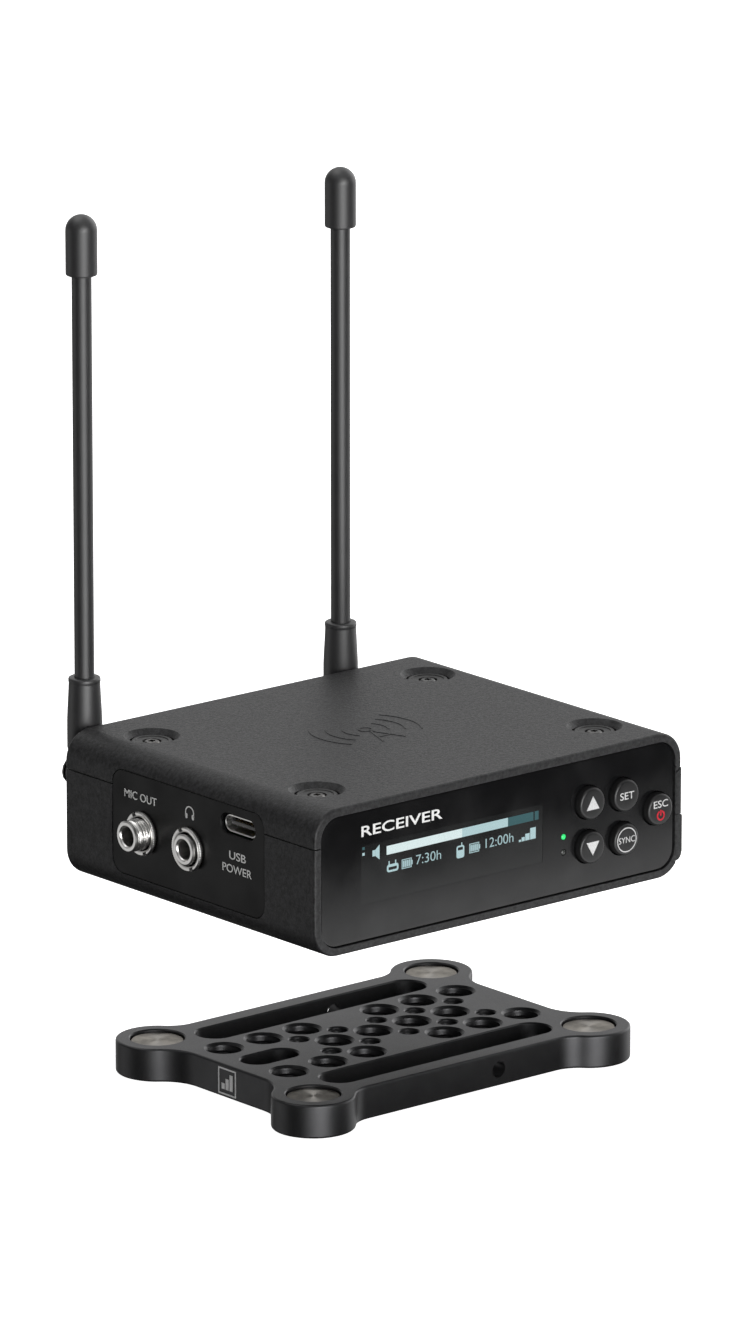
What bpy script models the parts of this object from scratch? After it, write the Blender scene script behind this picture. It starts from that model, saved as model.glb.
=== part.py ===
"""Wireless microphone receiver with its magnetic mounting plate.

Frame: +Z up, -Y is the front with the display. The origin is on the surface that the plate
lies on, at the middle of the whole unit's footprint. The named sizes below are in millimetres,
and new_node() turns them into metres. Plate sizes are counted from the middle of the plate's
underside. The receiver is drawn lifted straight above the plate, and its sizes are counted
from the middle of the receiver's underside.
"""
import math

import bmesh
import bpy
from mathutils import Matrix, Vector

MM = 0.001
GAP = 0.3                      # clearance between neighbouring pieces
SMOOTH_ANGLE = math.radians(35)

# ---------------------------------------------------------------- receiver body
BODY_W, BODY_D, BODY_H = 86.0, 70.0, 27.0
BODY_R = 5.3                   # long edges of the case
EDGE = 0.5                     # chamfer round the front and rear faces
HALF_W, HALF_D = BODY_W / 2, BODY_D / 2
WALL = 1.6                     # top, bottom and rear walls
LEFT_WALL = 2.2
RIM = 1.5                      # frame round the front panel
SEAM_Z = 20.3                  # parting line between the two shells
LIFT = 29.3                    # receiver underside above the plate's top
DOCK_TRAVEL = 28.5

# battery bay on the right
BAY_WALL_IN, BAY_WALL_OUT = 38.5, 40.2
BAY_HALF_Y, BAY_Z0, BAY_Z1 = 26.6, 3.4, 18.6
CELL_R, CELL_LEN, NUB_R, NUB_LEN = 7.25, 50.5, 2.6, 1.3
CELL_Z = 11.0
CELL_X = {"battery_cell_inner": 15.8, "battery_cell_outer": 30.6}

# battery door: a hinge along its lower edge and a squeeze catch at each end
HINGE_X, HINGE_Z = 41.75, 4.0
BARREL_R, BARREL_BORE, PIN_R = 1.25, 0.75, 0.45
BARREL_HALF = 32.0
NOTCH_FLOOR = 2.35
SKIN_IN, SKIN_PROUD = 41.7, 0.27
DOOR_STEP_Z = 11.1             # below this the door stands proud of the case
MITRE_IN_Z, MITRE_OUT_Z = 19.0, 19.9
EAR_Y0, EAR_Y1 = 16.0, 21.0
CATCH_LEN, CATCH_SLOT = 6.9, 8.0

# front panel
PANEL_X, PANEL_Z0, PANEL_Z1 = 41.2, 1.8, 25.2
PANEL_FRONT, PANEL_BACK = -34.7, -33.1
WINDOW_X0, WINDOW_X1, WINDOW_Z0, WINDOW_Z1 = -32.1, 10.2, 8.2, 19.0
BUTTON_R, BUTTON_FRONT, BUTTON_TRAVEL = 3.0, -36.2, 0.45
BUTTONS = {
    "button_up": (20.8, 17.4),
    "button_down": (20.8, 9.2),
    "button_set": (28.9, 17.4),
    "button_sync": (28.9, 9.2),
    "button_esc": (37.0, 13.3),
}
LEDS = {"led_link": 11.95, "led_audio": 9.1}
LED_X, LED_R = 15.15, 0.5

# connector panel on the left
IO_Y0, IO_Y1, IO_Z0, IO_Z1, IO_R = -21.1, 21.5, 4.3, 23.4, 2.8
IO_FACE, IO_THICK = -42.9, 0.6
JACK_Z, BUSH_R, JACK_BORE = 13.0, 2.9, 1.8
NUT_R, NUT_THICK = 4.05, 0.7
MIC_REACH, PHONES_REACH = 2.9, 0.55     # how far each bush stands out of its nut
JACKS = {"mic_jack": (12.8, MIC_REACH), "phones_jack": (-0.3, PHONES_REACH)}
USB_Y, USB_Z = -13.75, 19.95
USB_W, USB_H = 8.94, 3.26
USB_SLOT_W, USB_SLOT_H = 11.2, 5.0

# discs in the top, and below them the feet, which meet the plate's discs
CUP_X, CUP_Y = 32.5, 23.1
FOOT_X, FOOT_Y = 32.5, 22.0
CORNERS = {"fl": (-1, -1), "fr": (1, -1), "rl": (-1, 1), "rr": (1, 1)}
FOOT_R, FOOT_DROP = 4.6, 1.0
SCREW_Y = 31.0

# antennas
ANTENNA_X = {"left": -35.2, "right": 25.0}
PIVOT_Y, PIVOT_Z, HUB_END = 39.0, 17.0, 42.9
ROD_R, CAP_R = 1.8, 2.87
BOOT_TOP, CAP_BASE, CAP_TOP = 35.1, 109.3, 120.4

# ---------------------------------------------------------------- mounting plate
PLATE_T = 6.2
PLATE_HALF_X, PLATE_HALF_Y = 33.8, 25.1
LOBE_R, FILLET_LONG, FILLET_SHORT = 7.6, 6.0, 8.0
HOLE_PITCH = 9.14
PLATE_HOLE_R, PLATE_HOLE_FLARE, SMALL_HOLE_R = 3.05, 3.55, 1.75
STRAP_Y, STRAP_HALF_X, STRAP_W = 17.5, 26.3, 7.3
SCREW_SLOT_X, SCREW_SLOT_LEN = -24.4, 11.8
CROSS_HOLE_R, CROSS_HOLE_X = 1.5, 8.3
PLATE_CUP_R, PLATE_CUP_DEPTH = 5.0, 2.8
RECEIVER_Z = PLATE_T + LIFT

# the plate's middle, counted from the middle of the whole unit's footprint
MIC_TIP = IO_FACE - GAP - NUT_THICK - MIC_REACH
UNIT_X = -(MIC_TIP + HALF_W + SKIN_PROUD) / 2
UNIT_Y = -(BUTTON_FRONT + HUB_END) / 2


# ================================================================ mesh helpers
def arc(cx, cy, radius, start, end, steps):
    """Points of an arc, angles in degrees."""
    points = []
    for i in range(steps + 1):
        a = math.radians(start + (end - start) * i / steps)
        points.append((cx + radius * math.cos(a), cy + radius * math.sin(a)))
    return points


def rounded_rect(x0, x1, y0, y1, radius, steps=4):
    return (arc(x1 - radius, y0 + radius, radius, -90, 0, steps)
            + arc(x1 - radius, y1 - radius, radius, 0, 90, steps)
            + arc(x0 + radius, y1 - radius, radius, 90, 180, steps)
            + arc(x0 + radius, y0 + radius, radius, 180, 270, steps))


def stadium(cx, cy, length, width, steps=6):
    """A slot outline with round ends, long way along the first axis."""
    half, radius = (length - width) / 2, width / 2
    return (arc(cx + half, cy, radius, -90, 90, steps)
            + arc(cx - half, cy, radius, 90, 270, steps))


def to_axis(axis, u, v, t):
    """Outline (u, v) and depth t as a point: X takes (y, z), Y takes (x, z), Z takes (x, y)."""
    if axis == "X":
        return Vector((t, u, v))
    if axis == "Y":
        return Vector((u, t, v))
    return Vector((u, v, t))


def prism(outline, axis, start, end, chamfer=0.0, ends="both"):
    """A closed extrusion of an outline, with optional chamfers round its end faces."""
    bm = bmesh.new()
    ring = [bm.verts.new(to_axis(axis, u, v, start)) for u, v in outline]
    base = bm.faces.new(ring)
    top = bmesh.ops.extrude_face_region(bm, geom=[base])
    moved = [g for g in top["geom"] if isinstance(g, bmesh.types.BMVert)]
    bmesh.ops.translate(bm, verts=moved, vec=to_axis(axis, 0, 0, end - start))
    bmesh.ops.recalc_face_normals(bm, faces=bm.faces)
    if chamfer:
        index = "XYZ".index(axis)
        levels = {"both": (start, end), "start": (start,), "end": (end,)}[ends]
        rims = [e for e in bm.edges
                if any(all(abs(v.co[index] - level) < 1e-4 for v in e.verts) for level in levels)]
        bmesh.ops.bevel(bm, geom=rims, offset=chamfer, segments=1, affect="EDGES")
    return bm


def box(x0, x1, y0, y1, z0, z1, chamfer=0.0):
    bm = prism([(x0, y0), (x1, y0), (x1, y1), (x0, y1)], "Z", z0, z1)
    if chamfer:
        bmesh.ops.bevel(bm, geom=bm.edges[:], offset=chamfer, segments=1, affect="EDGES")
    return bm


def turned(profile, axis, centre, steps=16):
    """A closed lathe solid. profile holds (radius, place along the axis), both ends on the axis."""
    bm = bmesh.new()
    rings = []
    for radius, t in profile:
        if radius < 1e-6:
            rings.append([bm.verts.new(to_axis(axis, centre[0], centre[1], t))])
            continue
        circle = arc(centre[0], centre[1], radius, 0, 360, steps)[:-1]
        rings.append([bm.verts.new(to_axis(axis, u, v, t)) for u, v in circle])
    for low, high in zip(rings, rings[1:]):
        for i in range(steps):
            j = (i + 1) % steps
            corners = [low[i % len(low)], low[j % len(low)], high[j % len(high)], high[i % len(high)]]
            unique = list(dict.fromkeys(corners))
            if len(unique) > 2:
                bm.faces.new(unique)
    bmesh.ops.recalc_face_normals(bm, faces=bm.faces)
    return bm


def cylinder(radius, axis, centre, start, end, steps=16):
    return turned([(0, start), (radius, start), (radius, end), (0, end)], axis, centre, steps)


def temporary_object(bm):
    mesh = bpy.data.meshes.new("temporary")
    bm.to_mesh(mesh)
    bm.free()
    obj = bpy.data.objects.new("temporary", mesh)
    bpy.context.scene.collection.objects.link(obj)
    return obj


def combine(operation, body, tools):
    """Boolean the tools into the body one after another, and return the resulting mesh."""
    target = temporary_object(body)
    helpers = [temporary_object(tool) for tool in tools]
    for helper in helpers:
        modifier = target.modifiers.new("boolean", "BOOLEAN")
        modifier.operation = operation
        modifier.solver = "EXACT"
        modifier.object = helper
    evaluated = target.evaluated_get(bpy.context.evaluated_depsgraph_get())
    result = bmesh.new()
    result.from_mesh(evaluated.to_mesh())
    evaluated.to_mesh_clear()
    bmesh.ops.remove_doubles(result, verts=result.verts, dist=1e-4)
    bmesh.ops.dissolve_degenerate(result, edges=result.edges, dist=1e-4)
    for obj in [target] + helpers:
        mesh = obj.data
        bpy.data.objects.remove(obj)
        bpy.data.meshes.remove(mesh)
    return result


def cut(body, *tools):
    return combine("DIFFERENCE", body, tools)


def fuse(body, *tools):
    return combine("UNION", body, tools)


# ================================================================ materials and nodes
MATERIALS = {
    "case_paint": ((0.035, 0.036, 0.038), 0.62, 0.0),
    "door_plastic": ((0.035, 0.036, 0.038), 0.62, 0.0),
    "panel_gloss": ((0.008, 0.008, 0.009), 0.12, 0.0),
    "window_glass": ((0.012, 0.016, 0.018), 0.05, 0.0),
    "display": ((0.05, 0.12, 0.14), 0.3, 0.0),
    "button_plastic": ((0.02, 0.02, 0.021), 0.45, 0.0),
    "led_green": ((0.05, 0.8, 0.15), 0.3, 0.0),
    "led_dark": ((0.03, 0.06, 0.04), 0.3, 0.0),
    "nickel": ((0.75, 0.74, 0.72), 0.18, 1.0),
    "steel": ((0.55, 0.53, 0.5), 0.3, 1.0),
    "circuit_board": ((0.02, 0.09, 0.05), 0.5, 0.0),
    "inner_plastic": ((0.03, 0.03, 0.03), 0.6, 0.0),
    "cell_wrap": ((0.12, 0.12, 0.13), 0.35, 0.3),
    "antenna_rubber": ((0.03, 0.03, 0.031), 0.5, 0.0),
    "foot_rubber": ((0.02, 0.02, 0.02), 0.8, 0.0),
    "plate_anodised": ((0.04, 0.04, 0.042), 0.4, 0.6),
}


def make_material(name):
    """The Principled material of that name, made on first use."""
    if name in bpy.data.materials:
        return bpy.data.materials[name]
    colour, roughness, metallic = MATERIALS[name]
    material = bpy.data.materials.new(name)
    material.use_nodes = True
    shader = material.node_tree.nodes["Principled BSDF"]
    shader.inputs["Base Color"].default_value = (*colour, 1.0)
    shader.inputs["Roughness"].default_value = roughness
    shader.inputs["Metallic"].default_value = metallic
    return material


def new_empty(name, location, parent=None):
    """An empty at a place given in its parent's frame."""
    empty = bpy.data.objects.new(name, None)
    empty.empty_display_size = 5 * MM
    bpy.context.scene.collection.objects.link(empty)
    empty.parent = parent
    empty.location = Vector(location) * MM
    return empty


def new_node(name, bm, material, parent=None, origin=(0, 0, 0)):
    """Make the named object. Its mesh is moved so that the object's origin lies at origin."""
    bmesh.ops.transform(bm, matrix=Matrix.Translation(-Vector(origin)), verts=bm.verts)
    bmesh.ops.scale(bm, vec=(MM, MM, MM), verts=bm.verts)
    bmesh.ops.triangulate(bm, faces=bm.faces)
    mesh = bpy.data.meshes.new(name)
    bm.to_mesh(mesh)
    bm.free()
    mesh.shade_smooth()
    mesh.set_sharp_from_angle(angle=SMOOTH_ANGLE)
    mesh.materials.append(make_material(material))
    obj = bpy.data.objects.new(name, mesh)
    bpy.context.scene.collection.objects.link(obj)
    obj.parent = parent
    obj.location = Vector(origin) * MM
    return obj


# ================================================================ mounting plate
def plate_quadrant():
    """Outline from the short side's middle round one lobe to the long side's middle."""
    reach_short, reach_long = LOBE_R + FILLET_SHORT, LOBE_R + FILLET_LONG
    short_x = PLATE_HALF_X + FILLET_SHORT
    short_y = FOOT_Y - math.sqrt(reach_short ** 2 - (short_x - FOOT_X) ** 2)
    long_y = PLATE_HALF_Y + FILLET_LONG
    long_x = FOOT_X - math.sqrt(reach_long ** 2 - (long_y - FOOT_Y) ** 2)
    to_lobe = math.degrees(math.atan2(FOOT_Y - short_y, FOOT_X - short_x))
    from_lobe = math.degrees(math.atan2(long_y - FOOT_Y, long_x - FOOT_X))
    return (arc(short_x, short_y, FILLET_SHORT, 180, to_lobe, 4)
            + arc(FOOT_X, FOOT_Y, LOBE_R, to_lobe - 180, from_lobe, 13)[1:-1]
            + arc(long_x, long_y, FILLET_LONG, from_lobe + 180, 270, 4))


def plate_outline():
    quadrant = plate_quadrant()
    mirrored = [(-x, y) for x, y in reversed(quadrant)]
    upper = quadrant + mirrored
    return upper + [(-x, -y) for x, y in upper]


def flared_hole(x, y):
    """Cutter for a threaded hole with a countersink at both faces."""
    flare = PLATE_HOLE_FLARE - PLATE_HOLE_R
    wide = PLATE_HOLE_FLARE + flare
    profile = [(0, -flare), (wide, -flare), (PLATE_HOLE_R, flare),
               (PLATE_HOLE_R, PLATE_T - flare), (wide, PLATE_T + flare), (0, PLATE_T + flare)]
    return turned(profile, "Z", (x, y), 12)


def plate_cutters():
    cutters = []
    for row, columns in ((1, (-3, -2, -1, 1, 2, 3)), (0, (-1, 0, 1, 2)), (-1, (-3, -2, -1, 1, 2, 3))):
        for column in columns:
            cutters.append(flared_hole(column * HOLE_PITCH, row * HOLE_PITCH))
    for row in (-0.5, 0.5):
        for column in (-1.5, -0.5, 0.5, 1.5, 2.5):
            centre = (column * HOLE_PITCH, row * HOLE_PITCH)
            cutters.append(cylinder(SMALL_HOLE_R, "Z", centre, -1, PLATE_T + 1, 10))
    slot = stadium(SCREW_SLOT_X, 0, SCREW_SLOT_LEN, 2 * PLATE_HOLE_R)
    cutters.append(prism(slot, "Z", -1, PLATE_T + 1))
    for side in (-1, 1):
        outline = stadium(0, side * STRAP_Y, 2 * STRAP_HALF_X, STRAP_W)
        cutters.append(prism(outline, "Z", -1, PLATE_T + 1))
        near, far = sorted((side * 20, side * 30))
        cutters.append(cylinder(CROSS_HOLE_R, "Y", (CROSS_HOLE_X, PLATE_T / 2), near, far, 10))
    for sx, sy in CORNERS.values():
        cup = (sx * FOOT_X, sy * FOOT_Y)
        cutters.append(cylinder(PLATE_CUP_R, "Z", cup, PLATE_T - PLATE_CUP_DEPTH, PLATE_T + 1, 20))
    return cutters


def build_plate(plate):
    body = prism(plate_outline(), "Z", 0, PLATE_T, chamfer=0.4)
    new_node("mounting_plate", cut(body, *plate_cutters()), "plate_anodised", plate)
    for corner, (sx, sy) in CORNERS.items():
        centre = (sx * FOOT_X, sy * FOOT_Y)
        disc = turned([(0, 3.7), (4.7, 3.7), (4.7, 5.5), (4.5, 5.7), (0, 5.7)], "Z", centre, 20)
        new_node("plate_magnet_" + corner, disc, "steel", plate)


# ================================================================ shells
def case_block():
    outline = rounded_rect(-HALF_W, HALF_W, 0, BODY_H, BODY_R, 5)
    return prism(outline, "Y", -HALF_D, HALF_D, chamfer=EDGE)


def front_opening():
    outline = rounded_rect(-HALF_W + RIM, HALF_W - RIM, RIM, BODY_H - RIM, 3.9)
    return prism(outline, "Y", -HALF_D - 1, -32.8)


def io_recess():
    """Shallow pocket in the left side that takes the connector panel."""
    outline = rounded_rect(IO_Y0 - GAP, IO_Y1 + GAP, IO_Z0 - GAP, IO_Z1 + GAP, IO_R + GAP)
    depth = IO_FACE + IO_THICK + GAP
    return prism(outline, "X", -HALF_W - 1, depth)


def usb_slot(x0, x1):
    outline = rounded_rect(USB_Y - USB_SLOT_W / 2, USB_Y + USB_SLOT_W / 2,
                           USB_Z - USB_SLOT_H / 2, USB_Z + USB_SLOT_H / 2, 1.6, 3)
    return prism(outline, "X", x0, x1)


def hinge_ears(bore):
    """The lower shell's two fixed knuckles, or the bores through them."""
    pieces = []
    for side in (-1, 1):
        y0, y1 = sorted((side * EAR_Y0, side * EAR_Y1))
        if bore:
            pieces.append(cylinder(BARREL_BORE, "Y", (HINGE_X, HINGE_Z), y0 - 1, y1 + 1, 10))
        else:
            pieces.append(cylinder(BARREL_R, "Y", (HINGE_X, HINGE_Z), y0, y1, 14))
            pieces.append(box(BAY_WALL_OUT - 0.5, HINGE_X, y0, y1, NOTCH_FLOOR - 0.3, HINGE_Z + 0.7))
    return pieces


def board_posts():
    return [cylinder(1.8, "Z", (x, y), WALL - 0.5, 16.4, 10)
            for x, y in ((-36, 28), (2, 28), (2, -25.5), (-36, -25.5))]


def build_lower_shell(receiver):
    top = SEAM_Z - GAP / 2
    left, corner = -HALF_W + LEFT_WALL, 3.2
    interior = (arc(left + corner, WALL + corner, corner, 180, 270, 4)
                + [(BAY_WALL_IN, WALL), (BAY_WALL_IN, 40), (left, 40)])
    cutters = [
        box(-50, 50, -50, 50, top, 50),
        prism(interior, "Y", -33, HALF_D - WALL),
        box(left, BAY_WALL_OUT, -33, -29.2, 4.8, 40),
        front_opening(),
        box(BAY_WALL_OUT, 50, -40, HALF_D - WALL, NOTCH_FLOOR, 40),
        box(SKIN_IN - GAP, 50, 0, 50, NOTCH_FLOOR, 40),
        box(BAY_WALL_OUT, 50, 0, 50, NOTCH_FLOOR, HINGE_Z + 1.6),
        box(BAY_WALL_IN - 1, BAY_WALL_OUT + 1, -BAY_HALF_Y, BAY_HALF_Y, BAY_Z0, BAY_Z1),
        io_recess(),
        usb_slot(-50, -40),
    ]
    cutters += [cylinder(BUSH_R + GAP, "X", (y, JACK_Z), -50, -39) for y, _ in JACKS.values()]
    cutters += [cylinder(2.2, "Y", (x, PIVOT_Z), 30, 40) for x in ANTENNA_X.values()]
    for sx, sy in CORNERS.values():
        cutters.append(cylinder(FOOT_R + GAP, "Z", (sx * FOOT_X, sy * FOOT_Y), -1, 1.2))
        cutters.append(cylinder(1.9, "Z", (sx * FOOT_X, sy * SCREW_Y), -1, 0.8, 12))
        cutters.append(cylinder(1.1, "Z", (sx * FOOT_X, sy * SCREW_Y), 0, 3, 10))
    shell = cut(case_block(), *cutters)
    shell = fuse(shell, *hinge_ears(bore=False), *board_posts())
    new_node("lower_shell", cut(shell, *hinge_ears(bore=True)), "case_paint", receiver)


def cup_cutter(x, y):
    """Countersunk recess in the top for a docking disc, with its screw hole."""
    profile = [(0, 21), (1.2, 21), (1.2, 24.4), (4.1, 24.4), (4.1, 26.1), (5.1, 27), (6.1, 27.9), (0, 27.9)]
    return turned(profile, "Z", (x, y))


def build_upper_shell(receiver):
    seam = SEAM_Z + GAP / 2
    slope = (MITRE_OUT_Z - MITRE_IN_Z) / (HALF_W - SKIN_IN)
    reach = 7.0                # how far the cutter runs on outside the case
    mitre_z = MITRE_OUT_Z + GAP + 0.05
    below = [(-50, -5), (HALF_W + reach, -5), (HALF_W + reach, mitre_z + slope * reach),
             (SKIN_IN, mitre_z - slope * (HALF_W - SKIN_IN)), (SKIN_IN, seam), (-50, seam)]
    interior = rounded_rect(-HALF_W + LEFT_WALL, HALF_W - RIM, -5, BODY_H - WALL, 3.6)
    shell = cut(case_block(), prism(below, "Y", -50, 50), prism(interior, "Y", -33, HALF_D - WALL),
                front_opening(), io_recess(), usb_slot(-50, -40))
    corners = [(sx * CUP_X, sy * CUP_Y) for sx, sy in CORNERS.values()]
    bosses = [cylinder(5.4, "Z", corner, 23.4, BODY_H - WALL + 0.4) for corner in corners]
    shell = cut(fuse(shell, *bosses), *[cup_cutter(x, y) for x, y in corners])
    new_node("upper_shell", shell, "case_paint", receiver)


def build_cups_and_feet(receiver):
    for corner, (sx, sy) in CORNERS.items():
        centre = (sx * CUP_X, sy * CUP_Y)
        disc = [(0, 21.6), (0.9, 21.6), (0.9, 24.7), (3.8, 24.7), (3.8, 26.2), (1.4, 26.2), (0, 25.6)]
        new_node("top_magnet_" + corner, turned(disc, "Z", centre), "steel", receiver)
        foot = [(0, -FOOT_DROP), (FOOT_R - 0.3, -FOOT_DROP), (FOOT_R, 0.3 - FOOT_DROP),
                (FOOT_R, 0.9), (0, 0.9)]
        new_node("foot_" + corner, turned(foot, "Z", (sx * FOOT_X, sy * FOOT_Y)), "foot_rubber", receiver)
        screw = [(0, 0.5), (1.5, 0.1), (1.5, 0.5), (0.8, 0.5), (0.8, 1.5), (0, 1.5)]
        new_node("case_screw_" + corner, turned(screw, "Z", (sx * FOOT_X, sy * SCREW_Y), 10), "steel", receiver)


# ================================================================ front panel, display and keys
def build_front_panel(receiver):
    face = prism(rounded_rect(-PANEL_X, PANEL_X, PANEL_Z0, PANEL_Z1, 3.7), "Y",
                 PANEL_FRONT, PANEL_BACK, chamfer=0.25, ends="start")
    window = rounded_rect(WINDOW_X0 - GAP, WINDOW_X1 + GAP, WINDOW_Z0 - GAP, WINDOW_Z1 + GAP, 0.6, 2)
    cutters = [prism(window, "Y", -40, -30)]
    cutters += [cylinder(BUTTON_R + GAP, "Y", place, -40, -30, 16) for place in BUTTONS.values()]
    cutters += [cylinder(LED_R + GAP, "Y", (LED_X, z), -40, -30, 10) for z in LEDS.values()]
    new_node("front_panel", cut(face, *cutters), "panel_gloss", receiver)


def build_display(receiver):
    glass = prism(rounded_rect(WINDOW_X0, WINDOW_X1, WINDOW_Z0, WINDOW_Z1, 0.4, 2), "Y", -34.65, -33.6)
    new_node("display_window", glass, "window_glass", receiver)
    new_node("display_module", box(-33.4, 11.4, -32.7, -30.6, 6.9, 20.6, 0.2), "display", receiver)


def build_lights(receiver):
    for name, z in LEDS.items():
        pipe = cylinder(LED_R, "Y", (LED_X, z), -34.75, -31.5, 10)
        new_node(name, pipe, "led_green" if name == "led_link" else "led_dark", receiver)


def build_buttons(receiver):
    """Round keys, each with a retaining flange behind the panel and a plunger for its switch."""
    for name, place in BUTTONS.items():
        profile = [(0, BUTTON_FRONT), (BUTTON_R - 0.45, BUTTON_FRONT), (BUTTON_R, BUTTON_FRONT + 0.45),
                   (BUTTON_R, -32.8), (BUTTON_R + 0.5, -32.8), (BUTTON_R + 0.5, -32.3), (0, -31.95)]
        key = turned(profile, "Y", place, 16)
        new_node(name, key, "button_plastic", receiver, (place[0], BUTTON_FRONT, place[1]))


def build_key_board(receiver):
    board = box(13.0, 39.6, -31.0, -30.0, 5.2, 23.6)
    switches = [cylinder(1.2, "Y", place, -31.3, -30.5, 10) for place in BUTTONS.values()]
    new_node("key_board", fuse(board, *switches), "circuit_board", receiver)


# ================================================================ connectors
def build_io_panel(receiver):
    plate = prism(rounded_rect(IO_Y0, IO_Y1, IO_Z0, IO_Z1, IO_R), "X", IO_FACE, IO_FACE + IO_THICK,
                  chamfer=0.15, ends="start")
    holes = [cylinder(BUSH_R + GAP, "X", (y, JACK_Z), -50, -40, 20) for y, _ in JACKS.values()]
    new_node("io_panel", cut(plate, usb_slot(-50, -40), *holes), "panel_gloss", receiver)


def build_jacks(receiver):
    """Threaded 3.5 mm sockets, each clamped by a slotted ring nut."""
    nut_back = IO_FACE - GAP
    nut_front = nut_back - NUT_THICK
    for name, (y, reach) in JACKS.items():
        tip = nut_front - reach
        bush = [(0, tip), (BUSH_R - 0.3, tip), (BUSH_R, tip + 0.3), (BUSH_R, -40.2), (0, -40.2)]
        body = fuse(turned(bush, "X", (y, JACK_Z), 20), box(-40.4, -30, y - 3.4, y + 3.4, 9.9, 16.3))
        bore = cylinder(JACK_BORE, "X", (y, JACK_Z), tip - 1, -31.5, 14)
        new_node(name, cut(body, bore), "nickel", receiver)
        ring = cylinder(NUT_R, "X", (y, JACK_Z), nut_front, nut_back, 18)
        hole = cylinder(BUSH_R + GAP, "X", (y, JACK_Z), -50, -40)
        slots = [box(nut_front - 1, nut_back + 1, y - 0.5, y + 0.5, JACK_Z + z - 0.8, JACK_Z + z + 0.8)
                 for z in (-4.3, 4.3)]
        new_node(name + "_nut", cut(ring, hole, *slots), "nickel", receiver)


def build_usb(receiver):
    front, rear = -42.2, -34.5
    shell = prism(stadium(USB_Y, USB_Z, USB_W, USB_H), "X", front, rear)
    inside = prism(stadium(USB_Y, USB_Z, USB_W - 0.7, USB_H - 0.7), "X", front - 1, rear + 1)
    new_node("usb_c_shell", cut(shell, inside), "nickel", receiver)
    tongue = box(-41.6, -36, USB_Y - 3.35, USB_Y + 3.35, USB_Z - 0.35, USB_Z + 0.35)
    carrier = box(-36.5, -34.8, USB_Y - 3.35, USB_Y + 3.35, USB_Z - 0.9, USB_Z + 0.9)
    new_node("usb_c_tongue", fuse(tongue, carrier), "inner_plastic", receiver)


# ================================================================ electronics and battery bay
def build_electronics(receiver):
    new_node("main_board", box(-39.5, 6.3, -28.5, 31.5, 16.7, 18.0), "circuit_board", receiver)
    new_node("rf_shield", box(-24, 2, 2, 27, 18.3, 21.6, 0.4), "nickel", receiver)


def build_battery_bay(receiver):
    tray = cut(box(7.2, 38.2, -29.4, 29.4, 1.9, 19.8), box(8.1, 50, -28.6, 28.6, 3.3, 18.9))
    new_node("battery_tray", tray, "inner_plastic", receiver)
    half = CELL_LEN / 2
    for name, x in CELL_X.items():
        way = -1 if name == "battery_cell_outer" else 1
        profile = [(0, -way * half), (CELL_R - 0.4, -way * half), (CELL_R, -way * (half - 0.4)),
                   (CELL_R, way * (half - NUB_LEN - 0.4)), (CELL_R - 0.4, way * (half - NUB_LEN)),
                   (NUB_R, way * (half - NUB_LEN)), (NUB_R, way * half), (0, way * half)]
        new_node(name, turned(profile, "Y", (x, CELL_Z), 14), "cell_wrap", receiver)
    for name, side in (("battery_contact_front", -1), ("battery_contact_rear", 1)):
        y0, y1 = sorted((side * 28.0, side * 28.3))
        springs = []
        for x in CELL_X.values():
            profile = [(0, side * 28.15), (3.4, side * 28.15), (3.4, side * 27.4),
                       (2.2, side * 25.6), (0, side * 25.6)]
            springs.append(turned(profile, "Y", (x, CELL_Z), 12))
        plate = fuse(box(9.0, 37.4, y0, y1, 4.6, 17.4), *springs)
        new_node(name, plate, "nickel", receiver)


# ================================================================ battery door
def door_profile():
    """Section of the door's skin, seen along +Y: proud lower part, mitred upper edge."""
    proud = HALF_W + SKIN_PROUD
    return [(SKIN_IN, HINGE_Z - 0.05), (42.45, 3.0), (42.9, 3.3), (43.2, 3.9), (proud, 4.6),
            (proud, DOOR_STEP_Z - 0.2), (HALF_W, DOOR_STEP_Z + 0.05),
            (HALF_W, MITRE_OUT_Z), (SKIN_IN, MITRE_IN_Z)]


def build_door(receiver):
    hinge = new_empty("battery_door_hinge", (HINGE_X, 0, HINGE_Z), receiver)
    origin = Vector((HINGE_X, 0, HINGE_Z))
    skin = prism(door_profile(), "Y", -HALF_D, HALF_D, chamfer=0.3)
    additions = [cylinder(BARREL_R, "Y", (HINGE_X, HINGE_Z), -BARREL_HALF, BARREL_HALF, 14)]
    additions += [box(38.9, SKIN_IN + 0.3, y - 6, y + 6, 8, 14) for y in (-14, 14)]
    cutters = [cylinder(BARREL_BORE, "Y", (HINGE_X, HINGE_Z), -BARREL_HALF - 0.5, BARREL_HALF + 0.5, 10)]
    for side in (-1, 1):
        y0, y1 = sorted((side * (EAR_Y0 - GAP), side * (EAR_Y1 + GAP)))
        cutters.append(box(38, 45, y0, y1, 0, HINGE_Z + 1.6))
        y0, y1 = sorted((side * (HALF_D - CATCH_SLOT), side * 40))
        cutters.append(box(40, 45, y0, y1, DOOR_STEP_Z + 0.05, 25))
    door = cut(fuse(skin, *additions), *cutters)
    add_hinged_node("battery_door", door, "door_plastic", hinge, origin)
    for name, side in (("door_catch_front", -1), ("door_catch_rear", 1)):
        add_hinged_node(name, catch_mesh(side), "button_plastic", hinge, origin)
    pin = cylinder(PIN_R, "Y", (HINGE_X, HINGE_Z), -31, 31, 10)
    new_node("door_hinge_pin", pin, "steel", receiver, origin)


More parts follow.
